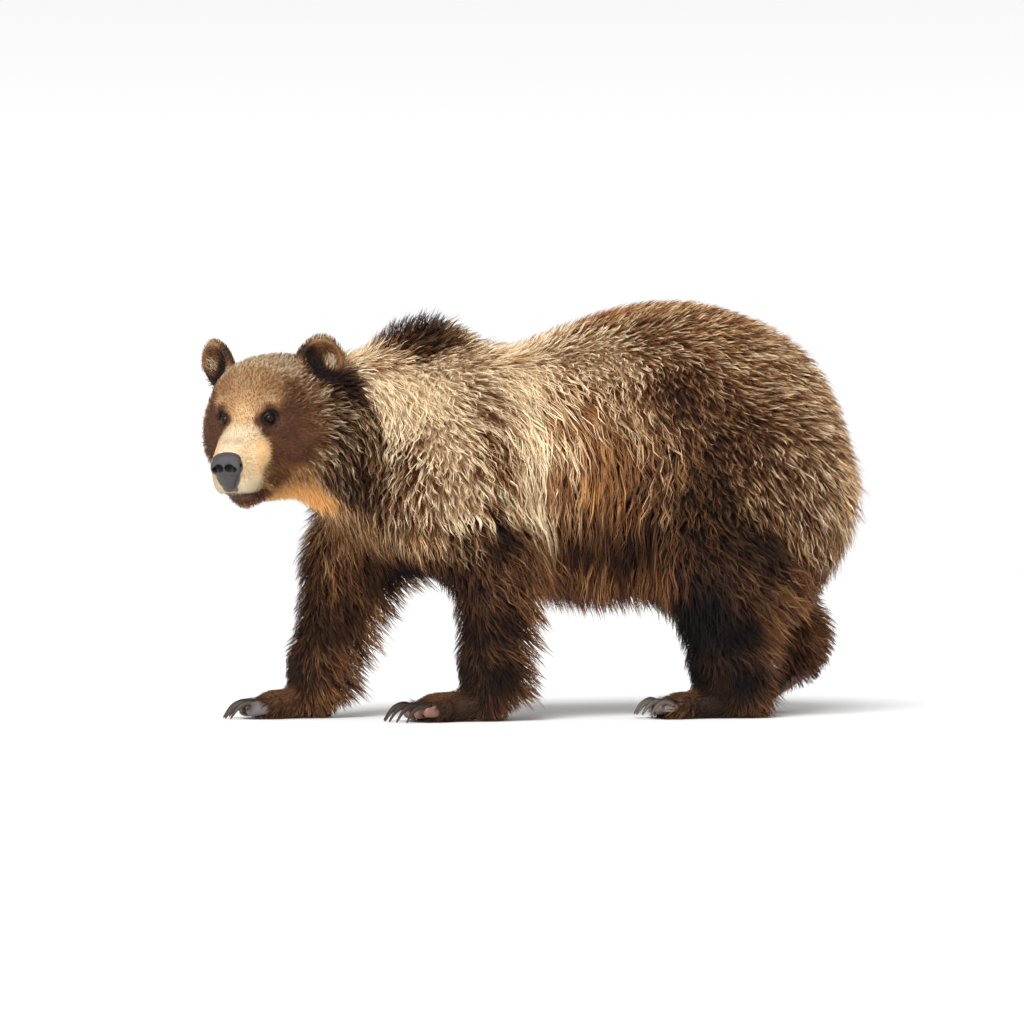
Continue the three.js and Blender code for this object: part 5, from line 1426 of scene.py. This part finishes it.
def curveThrough(stops, count):
    stops = np.array(stops, float)
    ends = np.vstack([2 * stops[0] - stops[1], stops, 2 * stops[-1] - stops[-2]])
    t = np.linspace(0, len(stops) - 1, count)
    i = np.minimum(t.astype(int), len(stops) - 2)
    f = (t - i)[:, None]
    a, b, c, d = (ends[i + k] for k in range(4))
    return (2 * b + (c - a) * f + (2 * a - 5 * b + 4 * c - d) * f**2 + (3 * b - a - 3 * c + d) * f**3) / 2


def clawMesh(tip, forward, side, size):
    length, drop = size["length"], size["tip"] - size["root"]
    knuckle = np.array((tip[0], tip[1] * side, size["root"]))
    way = np.array((forward[0], forward[1] * side, 0))
    across = np.cross(way, (0, 0, 1))
    between = [(length * share, rise) for share, rise in (clawForm["rise"], clawForm["bend"])]
    spine = curveThrough([clawForm["start"], *between, (length, drop)], clawForm["rings"])
    n = clawForm["sides"]
    angles = np.arange(n) * 2 * math.pi / n
    ups = np.where(np.sin(angles) > 0, 1.0, clawForm["under"]) * np.sin(angles)
    rows, horn = [], []
    for s, (reach, rise) in zip(np.linspace(0, 1, clawForm["rings"] + 1), spine):
        taper = (1 - s) ** 0.5 * linear(clawForm["taper"], s)
        middle = knuckle + way * reach + (0, 0, rise)
        lean = way * clawForm["lean"] * s
        for angle, up in zip(angles, ups):
            wide = math.cos(angle) * claw["halfWidth"] * taper
            rows.append(middle + across * wide + ((0, 0, 1) + lean) * up * claw["halfHeight"] * taper)
            horn.append((s, max(0, math.sin(angle))))
    rows.append(knuckle + way * (length + 1) + (0, 0, drop - 0.5))
    horn.append((1, 0.5))
    faces = [list(range(n))]
    for first in range(0, (clawForm["rings"] - 1) * n, n):
        for k in range(n):
            p, q = first + k, first + (k + 1) % n
            faces.append([p, p + n, q + n, q])
    last = (clawForm["rings"] - 1) * n
    faces += [[last + k, len(rows) - 1, last + (k + 1) % n] for k in range(n)]
    return np.array(rows), faces, horn


clawMaterial = makeClawMaterial()
for name, leg in legs.items():
    rows, faces, horn, nodes = [], [], [], []
    for number, (_, tip, forward) in enumerate(toesOf(leg["foot"])):
        moreRows, moreFaces, moreHorn = clawMesh(tip, forward, leg["side"], claw[name.split("_")[0]])
        faces += [[len(rows) + i for i in face] for face in moreFaces]
        rows += list(moreRows)
        horn += [(*value, clawPaleness[name]) for value in moreHorn]
        nodes.append(f"claw_{name}_{number + 1}")
    rows = np.array(rows)
    rows[:, 2] = np.maximum(rows[:, 2], clawForm["lowest"])
    claws = addMesh(f"claws_{name}", rows, faces, clawMaterial)
    setColours(claws.data, "horn", np.array(horn))
    work = bmesh.new()
    work.from_mesh(claws.data)
    bmesh.ops.recalc_face_normals(work, faces=work.faces)
    work.to_mesh(claws.data)
    work.free()
    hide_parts(*nodes)
    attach(claws, "root")
print("claws")

stage = {
    "floor": "f4f3f1",
    "size": 60,
    "wall": 1.0,
    "sky": 0.5,
    "between": (0.1, 0.35),
    "key": {"at": (-0.5, -0.85, 0.85), "angle": 34, "strength": 3.9},
    "fill": {"at": (-0.6, -0.8, 0.04), "angle": 60, "strength": 0.9},
}


def addFloor():
    material, tree, shader = nodesOf("paleFloor")
    feed(tree, shader, {"Base Color": rgb(stage["floor"]), "Roughness": 0.9})
    half = stage["size"] / 2
    mesh = bpy.data.meshes.new("floor")
    corners = [(-half, -half, 0), (half, -half, 0), (half, half, 0), (-half, half, 0)]
    mesh.from_pydata(corners, [], [(0, 1, 2, 3)])
    mesh.materials.append(material)
    floor = addObject("floor", mesh)


# The sky is brighter low down, as the walls of a studio are.
def makeSky():
    world = bpy.data.worlds.new("sky")
    bpy.context.scene.world = world
    world.use_nodes = True
    tree = world.node_tree
    way = addNode(tree, "ShaderNodeTexCoord")["Generated"]
    level = combined(tree, "ABSOLUTE", addNode(tree, "ShaderNodeSeparateXYZ", {0: way})[2], 0.0)
    strength = ranged(tree, level, *stage["between"], stage["wall"], stage["sky"])
    feed(tree, tree.nodes["Background"], {0: white, 1: strength})


# A lamp or the camera at a place, turned so that its axis points along way.
def addTurned(name, data, way, axis):
    added = addObject(name, data)
    added.rotation_mode = "QUATERNION"
    added.rotation_quaternion = Vector(way).to_track_quat(axis, "Y")
    return added


def addSun(name, at, angle, strength):
    light = bpy.data.lights.new(name, "SUN")
    light.angle = math.radians(angle)
    light.energy = strength
    addTurned(name, light, at, "Z")


addFloor()
makeSky()
addSun("key", **stage["key"])
addSun("fill", **stage["fill"])

view = {
    "azimuth": -18,
    "distance": 10000,
    "height": 430,
    "target": (0, 0, 498),
    "lens": 145.3,
    "sensor": 36,
    "reach": 200,
}
angle = math.radians(view["azimuth"])
eyePoint = np.array((math.sin(angle) * view["distance"], -math.cos(angle) * view["distance"], view["height"]))
camera = bpy.data.cameras.new("camera")
camera.lens = view["lens"]
camera.sensor_width = view["sensor"]
camera.clip_end = view["reach"]
cameraObject = addTurned("camera", camera, toFrame(view["target"]) - toFrame(eyePoint), "-Z")
cameraObject.location = toFrame(eyePoint)
bpy.context.scene.camera = cameraObject
bpy.context.scene.view_settings.view_transform = "Standard"
print("floor, light and camera")
